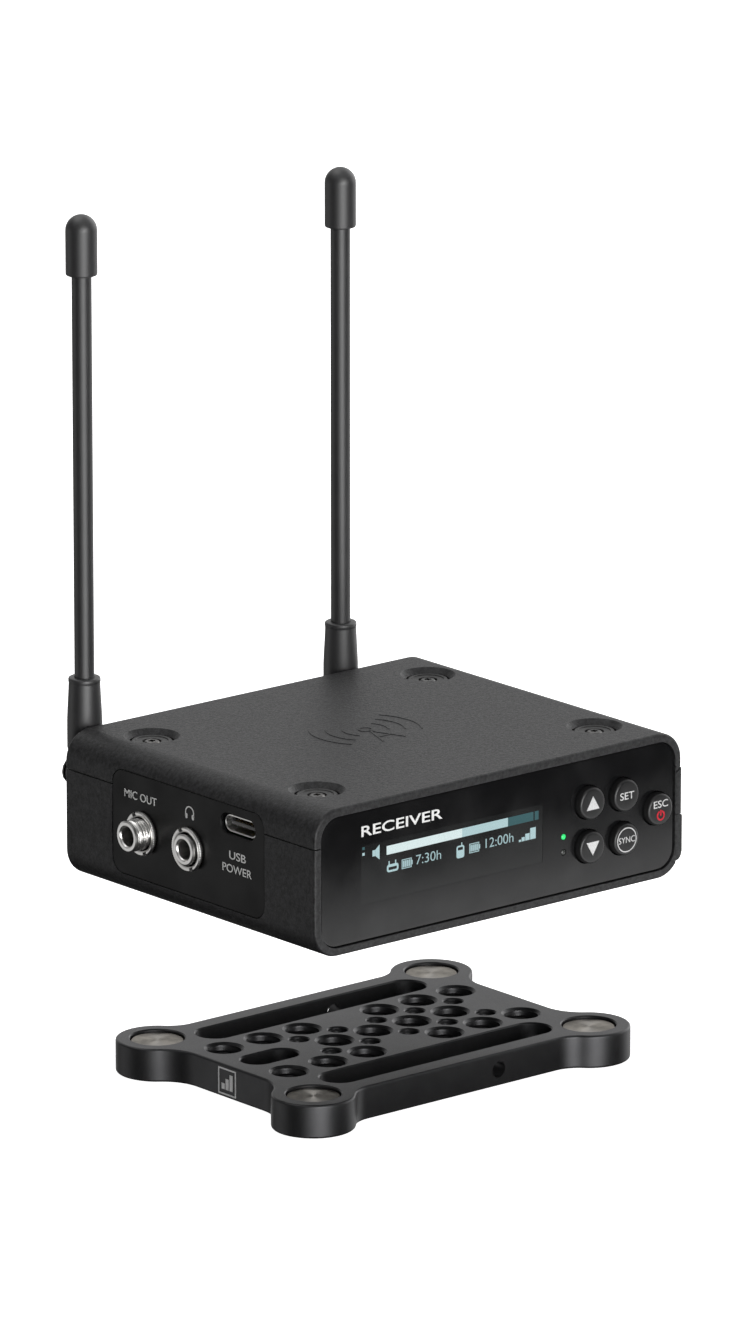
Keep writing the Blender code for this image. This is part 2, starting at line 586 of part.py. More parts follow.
def catch_mesh(side):
    """Squeeze catch: a flush end block on a thin rail that slides behind the door's skin."""
    y0, y1 = sorted((side * HALF_D, side * (HALF_D - CATCH_LEN)))
    low = DOOR_STEP_Z + 0.35
    block = [(SKIN_IN + 0.05, low), (HALF_W, low), (HALF_W, MITRE_OUT_Z - 0.05),
             (SKIN_IN + 0.05, MITRE_IN_Z)]
    rail_y0, rail_y1 = sorted((side * 32.6, side * 22.0))
    link_y0, link_y1 = sorted((side * 32.6, side * 29.0))
    rail = box(40.95, SKIN_IN - GAP, rail_y0, rail_y1, 13, 17)
    link = box(41.2, SKIN_IN + 0.4, link_y0, link_y1, 13, 17)
    return fuse(prism(block, "Y", y0, y1, chamfer=0.25), link, rail)


def add_hinged_node(name, bm, material, hinge, origin):
    """A node whose parent empty lies on the hinge line."""
    bmesh.ops.transform(bm, matrix=Matrix.Translation(-origin), verts=bm.verts)
    return new_node(name, bm, material, hinge)


# ================================================================ antennas
def build_antenna(receiver, side, x):
    pivot = new_empty("antenna_%s_pivot" % side, (x, PIVOT_Y, PIVOT_Z), receiver)
    origin = Vector((x, PIVOT_Y, PIVOT_Z))
    hub = [(0, 31.8), (1.9, 31.8), (1.9, 35.3), (4.0, 35.3), (4.0, 35.8), (1.5, 35.8),
           (1.5, 42.2), (2.5, 42.2), (2.5, 42.6), (2.2, HUB_END), (0, HUB_END)]
    new_node("antenna_%s_hub" % side, turned(hub, "Y", (x, PIVOT_Z), 14), "steel", receiver, origin)
    collar = [(0, PIVOT_Z + 1), (2.85, PIVOT_Z + 1), (2.85, PIVOT_Z + 4.2), (3.2, PIVOT_Z + 5), (3.2, 27.5),
              (2.85, 34.2), (3.0, 34.5), (3.0, 34.9), (2.8, BOOT_TOP), (0, BOOT_TOP)]
    knuckle = cylinder(3.5, "Y", (x, PIVOT_Z), 36.1, 41.9, 18)
    boot = cut(fuse(turned(collar, "Z", (x, PIVOT_Y)), knuckle),
               cylinder(1.8, "Y", (x, PIVOT_Z), 30, 50, 14),
               cylinder(ROD_R + GAP, "Z", (x, PIVOT_Y), BOOT_TOP - 3, BOOT_TOP + 1))
    add_hinged_node("antenna_%s_boot" % side, boot, "antenna_rubber", pivot, origin)
    rod = cylinder(ROD_R, "Z", (x, PIVOT_Y), BOOT_TOP - 2.7, CAP_BASE + 3)
    add_hinged_node("antenna_%s_rod" % side, rod, "antenna_rubber", pivot, origin)
    dome = [(CAP_R * math.cos(a), CAP_TOP - CAP_R + CAP_R * math.sin(a))
            for a in (math.radians(d) for d in (0, 30, 55, 75))]
    profile = [(0, CAP_BASE), (CAP_R - 0.2, CAP_BASE), (CAP_R, CAP_BASE + 0.3)] + dome + [(0, CAP_TOP)]
    cap = cut(turned(profile, "Z", (x, PIVOT_Y)),
              cylinder(ROD_R + GAP, "Z", (x, PIVOT_Y), CAP_BASE - 1, CAP_BASE + 3.3))
    add_hinged_node("antenna_%s_cap" % side, cap, "antenna_rubber", pivot, origin)


# ================================================================ assembly
def main():
    for obj in list(bpy.data.objects):
        bpy.data.objects.remove(obj)
    plate = new_empty("plate_frame", (UNIT_X, UNIT_Y, 0))
    build_plate(plate)
    receiver = new_empty("receiver_frame", (0, 0, RECEIVER_Z), plate)
    build_lower_shell(receiver)
    build_upper_shell(receiver)
    build_cups_and_feet(receiver)
    build_front_panel(receiver)
    build_display(receiver)
    build_lights(receiver)
    build_buttons(receiver)
    build_key_board(receiver)
    build_io_panel(receiver)
    build_jacks(receiver)
    build_usb(receiver)
    build_electronics(receiver)
    build_battery_bay(receiver)
    build_door(receiver)
    for side, x in ANTENNA_X.items():
        build_antenna(receiver, side, x)


main()
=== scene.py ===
"""Looks of the wireless receiver and its magnetic mounting plate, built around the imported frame.

Shapes are drawn in millimetres: receiver pieces from the middle of the receiver's underside,
plate pieces from the middle of the plate's underside. Both origins and the driving sizes come
from the frame's boxes.
"""
import math

import bmesh
import bpy
from mathutils import Matrix, Vector


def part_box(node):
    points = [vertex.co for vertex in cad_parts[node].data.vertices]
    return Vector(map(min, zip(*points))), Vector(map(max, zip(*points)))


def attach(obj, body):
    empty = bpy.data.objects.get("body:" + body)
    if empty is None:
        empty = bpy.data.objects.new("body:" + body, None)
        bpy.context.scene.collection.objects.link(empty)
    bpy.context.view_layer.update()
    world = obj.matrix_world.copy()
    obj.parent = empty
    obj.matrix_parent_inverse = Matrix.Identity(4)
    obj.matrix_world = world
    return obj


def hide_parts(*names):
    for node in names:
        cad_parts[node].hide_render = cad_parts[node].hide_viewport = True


MM = 0.001
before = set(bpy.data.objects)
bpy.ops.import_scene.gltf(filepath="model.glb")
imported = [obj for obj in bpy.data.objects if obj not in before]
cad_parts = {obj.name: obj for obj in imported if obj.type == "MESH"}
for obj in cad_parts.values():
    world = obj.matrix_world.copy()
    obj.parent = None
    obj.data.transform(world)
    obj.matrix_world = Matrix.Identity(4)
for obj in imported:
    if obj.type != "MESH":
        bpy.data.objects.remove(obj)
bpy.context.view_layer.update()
scene = bpy.context.scene


def centre_of(node):
    low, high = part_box(node)
    return (low + high) / 2


# the two origins, in metres
CASE = centre_of("upper_shell")
CASE.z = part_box("lower_shell")[0].z
PLATE = centre_of("mounting_plate")
PLATE.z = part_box("mounting_plate")[0].z


def local_box(node, origin=None):
    """A node's lowest and highest corner in millimetres from an origin, the case's by default."""
    low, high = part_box(node)
    start = CASE if origin is None else origin
    return (low - start) / MM, (high - start) / MM


def middle(node, origin=None):
    low, high = local_box(node, origin)
    return (low + high) / 2


# ==== driving sizes, millimetres
HALF_W, HALF_D, CASE_H = local_box("upper_shell")[1]
CASE_R, WALL, LEFT_WALL, RIM = 5.3, 1.6, 2.2, 1.5       # long corners, walls, frame round the panel
SEAM_LOW, SEAM_HIGH = 20.19, 20.41                      # the two shells' edges
BAY_OUT, BAY_IN = 40.2, 38.5                            # the battery bay wall's two faces
WALL_BACK, PANEL_SEAT = -33, -32.8                      # behind the front wall, and the panel's seat
SILL_H = 2.35                                           # lower edge of the door opening
FAR = 50                                                # past every face
CUP = middle("top_magnet_rr")
FOOT, SCREW = middle("foot_rr"), middle("case_screw_rr")
CORNERS = {"fl": (-1, -1), "fr": (1, -1), "rl": (-1, 1), "rr": (1, 1)}
BUTTONS = ("button_up", "button_down", "button_set", "button_sync", "button_esc")
JACKS = ("mic_jack", "phones_jack")
IO_LOW, IO_HIGH = local_box("io_panel")
PANEL_LOW, PANEL_HIGH = local_box("front_panel")
WINDOW_LOW, WINDOW_HIGH = local_box("display_window")
USB = middle("usb_c_shell")
USB_SLOT_W, USB_SLOT_H = 11.2, 5.0
PLATE_T = local_box("mounting_plate", PLATE)[1].z


# ==== outlines
def arc(cx, cy, radius, start, end, steps):
    """Points of an arc, angles in degrees."""
    points = []
    for i in range(steps + 1):
        a = math.radians(start + (end - start) * i / steps)
        points.append((cx + radius * math.cos(a), cy + radius * math.sin(a)))
    return points


def circle(centre, radius, steps):
    return arc(centre[0], centre[1], radius, 0, 360, steps)[:-1]


def rounded_rect(x0, x1, y0, y1, radius, steps=8):
    return (arc(x1 - radius, y0 + radius, radius, -90, 0, steps)
            + arc(x1 - radius, y1 - radius, radius, 0, 90, steps)
            + arc(x0 + radius, y1 - radius, radius, 90, 180, steps)
            + arc(x0 + radius, y0 + radius, radius, 180, 270, steps))


def stadium(cx, cy, length, width, steps=14):
    half, radius = (length - width) / 2, width / 2
    return (arc(cx + half, cy, radius, -90, 90, steps)
            + arc(cx - half, cy, radius, 90, 270, steps))


def to_axis(axis, u, v, t):
    """Outline (u, v) and depth t as a point: X takes (y, z), Y takes (x, z), Z takes (x, y)."""
    if axis == "X":
        return Vector((t, u, v))
    if axis == "Y":
        return Vector((u, t, v))
    return Vector((u, v, t))


# ==== solids
def prism(outline, axis, start, end, rim=0.0, ends="both", segments=3):
    """A closed extrusion of an outline, with optional rounds along its end rims."""
    bm = bmesh.new()
    ring = [bm.verts.new(to_axis(axis, u, v, start)) for u, v in outline]
    base = bm.faces.new(ring)
    top = bmesh.ops.extrude_face_region(bm, geom=[base])
    moved = [g for g in top["geom"] if isinstance(g, bmesh.types.BMVert)]
    bmesh.ops.translate(bm, verts=moved, vec=to_axis(axis, 0, 0, end - start))
    bmesh.ops.recalc_face_normals(bm, faces=bm.faces)
    if rim:
        index = "XYZ".index(axis)
        levels = {"both": (start, end), "start": (start,), "end": (end,)}[ends]
        rims = [e for e in bm.edges
                if any(all(abs(v.co[index] - level) < 1e-4 for v in e.verts) for level in levels)]
        bmesh.ops.bevel(bm, geom=rims, offset=rim, segments=segments, affect="EDGES", profile=0.5)
    return bm


def box(x0, x1, y0, y1, z0, z1, rim=0.0, segments=2):
    bm = prism([(x0, y0), (x1, y0), (x1, y1), (x0, y1)], "Z", z0, z1)
    if rim:
        bmesh.ops.bevel(bm, geom=bm.edges[:], offset=rim, segments=segments, affect="EDGES", profile=0.5)
    return bm


def turned(profile, axis, centre, steps=40):
    """A closed lathe solid. profile holds (radius, place along the axis), both ends on the axis."""
    bm = bmesh.new()
    rings = []
    for radius, t in profile:
        if radius < 1e-6:
            rings.append([bm.verts.new(to_axis(axis, centre[0], centre[1], t))])
            continue
        rings.append([bm.verts.new(to_axis(axis, u, v, t)) for u, v in circle(centre, radius, steps)])
    for low, high in zip(rings, rings[1:]):
        for i in range(steps):
            j = (i + 1) % steps
            corners = [low[i % len(low)], low[j % len(low)], high[j % len(high)], high[i % len(high)]]
            unique = list(dict.fromkeys(corners))
            if len(unique) > 2:
                bm.faces.new(unique)
    bmesh.ops.recalc_face_normals(bm, faces=bm.faces)
    return bm


def cylinder(radius, axis, centre, start, end, steps=40):
    return turned([(0, start), (radius, start), (radius, end), (0, end)], axis, centre, steps)


def bridge(bm, rings, closed):
    """Skin the stretches between rings of vertices, then close the loop or cap both ends."""
    following = rings[1:] + (rings[:1] if closed else [])
    for low, high in zip(rings, following):
        for i in range(len(low)):
            j = (i + 1) % len(low)
            bm.faces.new((low[i], low[j], high[j], high[i]))
    if not closed:
        bm.faces.new(rings[0])
        bm.faces.new(rings[-1])
    bmesh.ops.recalc_face_normals(bm, faces=bm.faces)
    return bm


def loft(sections, axis, closed=False):
    """A closed solid through outlines of equal length. Each section is (outline, level).

    Its ends are flat, or with closed the last outline joins the first.
    """
    bm = bmesh.new()
    rings = [[bm.verts.new(to_axis(axis, u, v, level)) for u, v in outline] for outline, level in sections]
    return bridge(bm, rings, closed)


def tube_wall(sections, axis, centre, steps=48):
    """A closed ring. sections runs once round its cross-section as (radius, level)."""
    return loft([(circle(centre, radius, steps), level) for radius, level in sections], axis, True)


def temporary_object(bm):
    mesh = bpy.data.meshes.new("temporary")
    bm.to_mesh(mesh)
    bm.free()
    obj = bpy.data.objects.new("temporary", mesh)
    scene.collection.objects.link(obj)
    return obj


def combine(operation, body, tools):
    """Boolean the tools into the body one after another, and return the resulting mesh."""
    target = temporary_object(body)
    helpers = [temporary_object(tool) for tool in tools]
    for helper in helpers:
        modifier = target.modifiers.new("boolean", "BOOLEAN")
        modifier.operation = operation
        modifier.solver = "EXACT"
        modifier.object = helper
    evaluated = target.evaluated_get(bpy.context.evaluated_depsgraph_get())
    result = bmesh.new()
    result.from_mesh(evaluated.to_mesh())
    evaluated.to_mesh_clear()
    for obj in [target] + helpers:
        mesh = obj.data
        bpy.data.objects.remove(obj)
        bpy.data.meshes.remove(mesh)
    return result


def cut(body, *tools):
    return combine("DIFFERENCE", body, tools)


def fuse(body, *tools):
    return combine("UNION", body, tools)


def merge(*parts):
    """Several closed solids as one mesh, each keeping its own surface."""
    whole = bmesh.new()
    for part in parts:
        mesh = bpy.data.meshes.new("temporary")
        part.to_mesh(mesh)
        part.free()
        whole.from_mesh(mesh)
        bpy.data.meshes.remove(mesh)
    return whole


def piece(name, bm, look, body, nodes=(), origin=None, smooth=32, own_origin=False,
          triangles=False):
    """Make a visible piece from a mesh in millimetres, and fix it to its body.

    look is a key of MATERIAL. nodes are the frame's nodes that it stands for, and smooth is the
    angle in degrees past which an edge stays sharp. With own_origin the object's origin is at origin.
    With triangles the faces are split first, so that cleaning can't lose a face with several holes.
    """
    start = CASE if origin is None else origin
    if triangles:
        bmesh.ops.triangulate(bm, faces=bm.faces)
    bmesh.ops.remove_doubles(bm, verts=bm.verts, dist=2e-4)
    bmesh.ops.dissolve_degenerate(bm, edges=bm.edges, dist=1e-4)
    bmesh.ops.scale(bm, vec=(MM, MM, MM), verts=bm.verts)
    if not own_origin:
        bmesh.ops.translate(bm, vec=start, verts=bm.verts)
    mesh = bpy.data.meshes.new(name)
    bm.to_mesh(mesh)
    bm.free()
    mesh.shade_smooth()
    mesh.set_sharp_from_angle(angle=math.radians(smooth))
    mesh.materials.append(MATERIAL[look])
    obj = bpy.data.objects.new(name, mesh)
    scene.collection.objects.link(obj)
    if own_origin:
        obj.location = start
        bpy.context.view_layer.update()
    normals = obj.modifiers.new("weighted normals", "WEIGHTED_NORMAL")
    normals.keep_sharp = True
    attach(obj, body)
    if nodes:
        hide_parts(*nodes)
    return obj


# ==== materials
def shader(name, colour, roughness, metallic=0.0, **sockets):
    """A Principled material and its node tree. Further sockets are given by name."""
    material = bpy.data.materials.new(name)
    material.use_nodes = True
    tree = material.node_tree
    bsdf = tree.nodes["Principled BSDF"]
    bsdf.inputs["Base Color"].default_value = (*colour, 1.0)
    bsdf.inputs["Roughness"].default_value = roughness
    bsdf.inputs["Metallic"].default_value = metallic
    for socket, value in sockets.items():
        bsdf.inputs[socket.replace("_", " ")].default_value = value
    return material, tree, bsdf


def noise(tree, scale, detail=3.0, stretch=(1, 1, 1), roughness=0.5):
    """Object-space noise whose scale is in features per metre. Returns its factor output."""
    coordinates = tree.nodes.new("ShaderNodeTexCoord")
    mapping = tree.nodes.new("ShaderNodeMapping")
    mapping.inputs["Scale"].default_value = stretch
    texture = tree.nodes.new("ShaderNodeTexNoise")
    texture.inputs["Scale"].default_value = scale
    texture.inputs["Detail"].default_value = detail
    texture.inputs["Roughness"].default_value = roughness
    tree.links.new(coordinates.outputs["Object"], mapping.inputs["Vector"])
    tree.links.new(mapping.outputs["Vector"], texture.inputs["Vector"])
    return texture.outputs["Fac"]


def spread(tree, factor, low, high, start=0.35, end=0.65):
    """Maps a factor output to a range of values."""
    mapper = tree.nodes.new("ShaderNodeMapRange")
    mapper.inputs["From Min"].default_value = start
    mapper.inputs["From Max"].default_value = end
    mapper.inputs["To Min"].default_value = low
    mapper.inputs["To Max"].default_value = high
    tree.links.new(factor, mapper.inputs["Value"])
    return mapper.outputs["Result"]


def blend_colours(tree, factor, first, second, start=0.35, end=0.65):
    ramp = tree.nodes.new("ShaderNodeValToRGB")
    ramp.color_ramp.elements[0].position = start
    ramp.color_ramp.elements[0].color = (*first, 1)
    ramp.color_ramp.elements[1].position = end
    ramp.color_ramp.elements[1].color = (*second, 1)
    tree.links.new(factor, ramp.inputs["Fac"])
    return ramp.outputs["Color"]


def add_bump(tree, bsdf, height, strength, distance_mm, previous=None):
    bump = tree.nodes.new("ShaderNodeBump")
    bump.inputs["Strength"].default_value = strength
    bump.inputs["Distance"].default_value = distance_mm * MM
    tree.links.new(height, bump.inputs["Height"])
    if previous:
        tree.links.new(previous, bump.inputs["Normal"])
    tree.links.new(bump.outputs["Normal"], bsdf.inputs["Normal"])
    return bump.outputs["Normal"]


def textured(name, dark, light, roughness, grain, bump, metallic=0.0, stretch=(1, 1, 1), **sockets):
    """Surface with a fine grain: colour, roughness and height all follow noise.

    roughness is (low, high), grain is in features per metre, bump is (strength, height in mm).
    """
    material, tree, bsdf = shader(name, dark, roughness[0], metallic, **sockets)
    fine = noise(tree, grain, 2.0, stretch)
    broad = noise(tree, grain / 40, 3.0)
    tree.links.new(blend_colours(tree, broad, dark, light), bsdf.inputs["Base Color"])
    tree.links.new(spread(tree, fine, *roughness), bsdf.inputs["Roughness"])
    add_bump(tree, bsdf, fine, *bump)
    return material


def powder_coat():
    """Fine sand-textured black paint. Its colour follows the grain's height: darker in the pits as painted
    shade, paler on the grain tops as painted highlight.
    """
    material, tree, bsdf = shader("case_powder_coat", (0.03, 0.03, 0.032), 0.5)
    bsdf.inputs["Specular IOR Level"].default_value = 0.36
    grain = noise(tree, 1250, 3.0, roughness=0.75)
    fine = noise(tree, 4200, 1.0)
    # colour from the same noise as the bump: painted shade in the pits, painted highlight on the grain tops
    tree.links.new(blend_colours(tree, grain, (0.009, 0.009, 0.0093), (0.033, 0.033, 0.0345), 0.36, 0.66),
                   bsdf.inputs["Base Color"])
    tree.links.new(spread(tree, fine, 0.42, 0.56), bsdf.inputs["Roughness"])
    add_bump(tree, bsdf, grain, 0.9, 0.11)
    return material


def gloss_black(name, colour, roughness, specular=0.5):
    """Polished moulding with the faintest unevenness of its gloss."""
    material, tree, bsdf = shader(name, colour, roughness, Specular_IOR_Level=specular)
    smear = noise(tree, 120, 4.0)
    tree.links.new(spread(tree, smear, roughness * 0.8, roughness * 1.25), bsdf.inputs["Roughness"])
    add_bump(tree, bsdf, noise(tree, 700, 1.0), 0.02, 0.01)
    return material


def print_ink(name, colour):
    material, tree, bsdf = shader(name, colour, 0.5)
    ink = noise(tree, 6000, 1.0)
    darker = tuple(0.8 * c for c in colour)
    tree.links.new(blend_colours(tree, ink, darker, colour), bsdf.inputs["Base Color"])
    return material


def turned_metal(name, dark, light, roughness, rings_per_metre, axis):
    """Machined metal with fine rings round its own axis and brushed highlights across them."""
    material, tree, bsdf = shader(name, light, roughness, 1.0, Anisotropic=0.92)
    tangent = tree.nodes.new("ShaderNodeTangent")
    tangent.direction_type = "RADIAL"
    tangent.axis = axis
    tree.links.new(tangent.outputs["Tangent"], bsdf.inputs["Tangent"])
    broad = noise(tree, rings_per_metre / 12, 3.0)
    tree.links.new(blend_colours(tree, broad, dark, light), bsdf.inputs["Base Color"])
    tree.links.new(spread(tree, noise(tree, rings_per_metre, 2.0), roughness * 0.85, roughness * 1.2),
                   bsdf.inputs["Roughness"])
    return material


def lamp(name, colour, strength):
    """A lit light pipe: an even glow with a faint grain in its strength, over a glossy body of the same
    colour.
    """
    material, tree, bsdf = shader(name, colour, 0.2)
    bsdf.inputs["Emission Color"].default_value = (*colour, 1)
    layer = noise(tree, 2500, 1.0)
    tree.links.new(spread(tree, layer, strength * 0.9, strength * 1.1), bsdf.inputs["Emission Strength"])
    return material


def screen_dots(name, colour, strength):
    """Lit display pixels: a grid of square dots, 0.165 mm apart, with thin dark lines between."""
    material, tree, bsdf = shader(name, (0.01, 0.015, 0.016), 0.12)
    coordinates = tree.nodes.new("ShaderNodeTexCoord")
    separate = tree.nodes.new("ShaderNodeSeparateXYZ")
    tree.links.new(coordinates.outputs["Object"], separate.inputs["Vector"])
    gaps = []
    for axis in ("X", "Z"):
        cell = tree.nodes.new("ShaderNodeMath")
        cell.operation = "PINGPONG"
        cell.inputs[1].default_value = 0.0825 * MM
        tree.links.new(separate.outputs[axis], cell.inputs[0])
        gaps.append(spread(tree, cell.outputs[0], 0.35, 1.0, 0.0, 0.022 * MM))
    both = tree.nodes.new("ShaderNodeMath")
    both.operation = "MULTIPLY"
    tree.links.new(gaps[0], both.inputs[0])
    tree.links.new(gaps[1], both.inputs[1])
    level = tree.nodes.new("ShaderNodeMath")
    level.operation = "MULTIPLY"
    level.inputs[1].default_value = strength
    tree.links.new(both.outputs[0], level.inputs[0])
    bsdf.inputs["Emission Color"].default_value = (*colour, 1)
    tree.links.new(level.outputs[0], bsdf.inputs["Emission Strength"])
    return material


def grey(level, blue=None):
    """A neutral colour, its blue set apart where one is given."""
    return (level, level, level if blue is None else blue)


MATERIAL = {
    "case": powder_coat(),
    "panel": gloss_black("panel_gloss_black", grey(0.006, 0.0065), 0.17),
    "io_panel": gloss_black("io_panel_black", grey(0.006, 0.0062), 0.36, 0.18),
    "window": gloss_black("window_smoked", (0.011, 0.0115, 0.0118), 0.19),
    "white": print_ink("ink_white", grey(0.66)),
    "dim_ink": print_ink("ink_dim", grey(0.58)),
    "grey_ink": print_ink("ink_grey", grey(0.16, 0.165)),
    "silver_ink": print_ink("ink_silver", grey(0.82, 0.81)),
    "red": print_ink("ink_red", (0.55, 0.003, 0.02)),
    "spun": turned_metal("spun_steel", (0.24, 0.223, 0.198), (0.32, 0.298, 0.264), 0.36, 9000, "Z"),
    "screen": screen_dots("screen_lit", (0.54, 0.75, 0.78), 0.95),
    "screen_bright": screen_dots("screen_bright", (0.78, 0.92, 0.92), 1.06),
    "screen_text": screen_dots("screen_text", (0.44, 0.62, 0.65), 1.0),
    "screen_dim": screen_dots("screen_dim", (0.06, 0.15, 0.165), 0.85),
    "led_on": lamp("led_green_lit", (0.014, 0.44, 0.11), 0.95),
    # the unlit pipe still emits at strength 0.1: a faint painted glow
    "led_off_painted_glow": lamp("led_off_painted_glow", (0.035, 0.037, 0.035), 0.1),
}

# key: name, dark and light colour, roughness, grain per metre, bump strength and height, metallic
GRAINED = {
    "key": ("key_satin", grey(0.011, 0.0115), grey(0.015, 0.0155), (0.30, 0.38), 9000, (0.1, 0.02)),
    "nickel": ("bright_nickel", (0.80, 0.79, 0.77), (0.92, 0.91, 0.89), (0.28, 0.33), 5000,
               (0.02, 0.004), 1.0),
    "dark_steel": ("dark_steel", grey(0.10), (0.16, 0.155, 0.15), (0.3, 0.42), 6000, (0.1, 0.01), 1.0),
    "dark_disc": ("dark_disc", grey(0.040), grey(0.060), (0.38, 0.48), 6000, (0.12, 0.02), 0.5),
    "plate": ("plate_anodised", grey(0.050, 0.052), grey(0.060, 0.062), (0.36, 0.44), 7000,
              (0.16, 0.02), 0.8),
    "foot": ("foot_rubber", grey(0.012), grey(0.02), (0.7, 0.85), 5000, (0.3, 0.04)),
    "inner": ("inner_plastic", grey(0.014), grey(0.02), (0.5, 0.62), 5000, (0.2, 0.03)),
    "tongue": ("usb_tongue", grey(0.10), grey(0.14), (0.35, 0.45), 5000, (0.05, 0.01)),
    "board": ("solder_mask", (0.006, 0.05, 0.022), (0.012, 0.085, 0.04), (0.25, 0.4), 2500, (0.1, 0.02)),
    "gold": ("contact_gold", (0.7, 0.48, 0.16), (0.85, 0.6, 0.24), (0.2, 0.3), 6000, (0.05, 0.01), 1.0),
    "cell": ("cell_sleeve", grey(0.02, 0.022), grey(0.05, 0.055), (0.22, 0.3), 900, (0.03, 0.02)),
    "cell_band": ("cell_band", (0.30, 0.13, 0.03), (0.38, 0.17, 0.045), (0.22, 0.3), 900, (0.03, 0.02), 0.6),
}
for key, values in GRAINED.items():
    MATERIAL[key] = textured(*values)
MATERIAL["rubber"] = textured("antenna_rubber", grey(0.024, 0.025), grey(0.029, 0.030), (0.40, 0.48), 8000,
                              (0.10, 0.02), Specular_IOR_Level=0.8)


# ==== marks drawn on a face
SIDES = {
    "front": ((1, 0, 0), (0, 0, 1), (0, -1, 0)),
    "rear": ((-1, 0, 0), (0, 0, 1), (0, 1, 0)),
    "left": ((0, -1, 0), (0, 0, 1), (-1, 0, 0)),
    "right": ((0, 1, 0), (0, 0, 1), (1, 0, 0)),
    "top": ((1, 0, 0), (0, 1, 0), (0, 0, 1)),
    "under": ((-1, 0, 0), (0, 1, 0), (0, 0, -1)),
}


def face_of(side, origin):
    """Matrix from a face's own (across, up, out) to the piece's millimetres."""
    matrix = Matrix(SIDES[side]).transposed().to_4x4()
    matrix.translation = Vector(origin)
    return matrix


def placed(bm, matrix):
    bmesh.ops.transform(bm, matrix=matrix, verts=bm.verts)
    return bm


INK = (-0.02, 0.02)          # printed ink: from just under the face to just above it


def strip(points, width, closed=False, span=INK):
    """A line of constant width along a path, as a flat solid."""
    count = len(points)
    bm = bmesh.new()
    rows = []
    for i, (x, y) in enumerate(points):
        before = points[i - 1] if closed or i else points[i]
        after = points[(i + 1) % count] if closed or i < count - 1 else points[i]
        first = Vector((x - before[0], y - before[1]))
        second = Vector((after[0] - x, after[1] - y))
        first = first.normalized() if first.length else second.normalized()
        second = second.normalized() if second.length else first
        along = (first + second).normalized()
        spread_by = width / 2 / max(0.35, math.sqrt((1 + first.dot(second)) / 2))
        side = Vector((-along.y, along.x)) * spread_by
        rows.append([bm.verts.new((x + s * side.x, y + s * side.y, t)) for s, t in
                     ((1, span[0]), (-1, span[0]), (-1, span[1]), (1, span[1]))])
    return bridge(bm, rows, closed)


def patch(outline, span=INK):
    """A filled flat shape."""
    return prism(outline, "Z", *span)


def bar(x0, x1, y0, y1, span=INK):
    return patch([(x0, y0), (x1, y0), (x1, y1), (x0, y1)], span)


def lettering(text, width, height, centre, weight=0.0, span=INK):
    """Block letters fitted to a width and cap height, centred on a point."""
    curve = bpy.data.curves.new("lettering", "FONT")
    curve.body = text
    curve.offset = weight
    curve.extrude = 0.5
    curve.resolution_u = 6
    obj = bpy.data.objects.new("lettering", curve)
    scene.collection.objects.link(obj)
    evaluated = obj.evaluated_get(bpy.context.evaluated_depsgraph_get())
    bm = bmesh.new()
    bm.from_mesh(evaluated.to_mesh())
    evaluated.to_mesh_clear()
    bpy.data.objects.remove(obj)
    bpy.data.curves.remove(curve)
    bmesh.ops.remove_doubles(bm, verts=bm.verts, dist=1e-5)
    low = Vector([min(v.co[i] for v in bm.verts) for i in range(3)])
    high = Vector([max(v.co[i] for v in bm.verts) for i in range(3)])
    size = high - low
    target = Vector((width, height, span[1] - span[0]))
    start = Vector((centre[0] - width / 2, centre[1] - height / 2, span[0]))
    for vertex in bm.verts:
        vertex.co = start + Vector([(vertex.co[i] - low[i]) / size[i] * target[i] for i in range(3)])
    return bm


# ==== fine solids
def thread(axis, centre, root, crest, start, end, pitch, seat, steps=36, per_turn=6):
    """A helical thread as a closed ring wall: one skin winds, the other is plain at seat.

    root and crest are the winding skin's radii, and it fades to root at both ends.
    """
    count = max(2, round(abs(end - start) / pitch * per_turn))
    sections = []
    for k in range(count + 1):
        t = start + (end - start) * k / count
        fade = min(1.0, k / per_turn, (count - k) / per_turn)
        outline = []
        for i in range(steps):
            a = 2 * math.pi * i / steps
            phase = (abs(t - start) / pitch - i / steps) % 1.0
            height = max(0.0, min(1.0, 1.7 - 3.4 * abs(phase - 0.5))) * fade
            radius = root + (crest - root) * height
            outline.append((centre[0] + radius * math.cos(a), centre[1] + radius * math.sin(a)))
        sections.append((outline, t))
    sections += [(circle(centre, seat, steps), t) for t in (end, start)]
    return loft(sections, axis, True)


def softened(obj, width, angle=40, segments=2):
    """Small rounds along a piece's sharp edges."""
    bevel = obj.modifiers.new("edge rounds", "BEVEL")
    bevel.width = width * MM
    bevel.segments = segments
    bevel.limit_method = "ANGLE"
    bevel.angle_limit = math.radians(angle)
    bevel.use_clamp_overlap = True
    bevel.harden_normals = False
    obj.modifiers.move(len(obj.modifiers) - 1, 0)
    return obj


# ==== mounting plate
CUP_PLACE = middle("plate_magnet_rr", PLATE)
LOBE_R, FILLET_LONG, FILLET_SHORT = 7.6, 6.0, 8.0
PITCH = 9.14
HOLE_R, HOLE_FLARE, SMALL_R = 3.05, 0.5, 1.75
STRAP_Y, STRAP_LENGTH, STRAP_W = 17.5, 52.6, 7.3
CROSS_X, CROSS_R = 8.3, 1.5
CROSS_MOUTH_R, CROSS_MOUTH_Y = 2.25, 22.2       # the rear cross hole's wider outer part
SLOT_X, SLOT_LENGTH = -24.4, 11.8
DISC_R, DISC_BASE, DISC_ROUND = 4.75, 3.5, 0.2
BIG_PITCH, SMALL_PITCH = 1.27, 0.75             # thread pitches
BIG_HOLES = [(c, r) for r in (1, -1) for c in (-3, -2, -1, 1, 2, 3)] + [(c, 0) for c in (-1, 0, 1, 2)]
SMALL_HOLES = [(c, r) for r in (-0.5, 0.5) for c in (-1.5, -0.5, 0.5, 1.5, 2.5)]


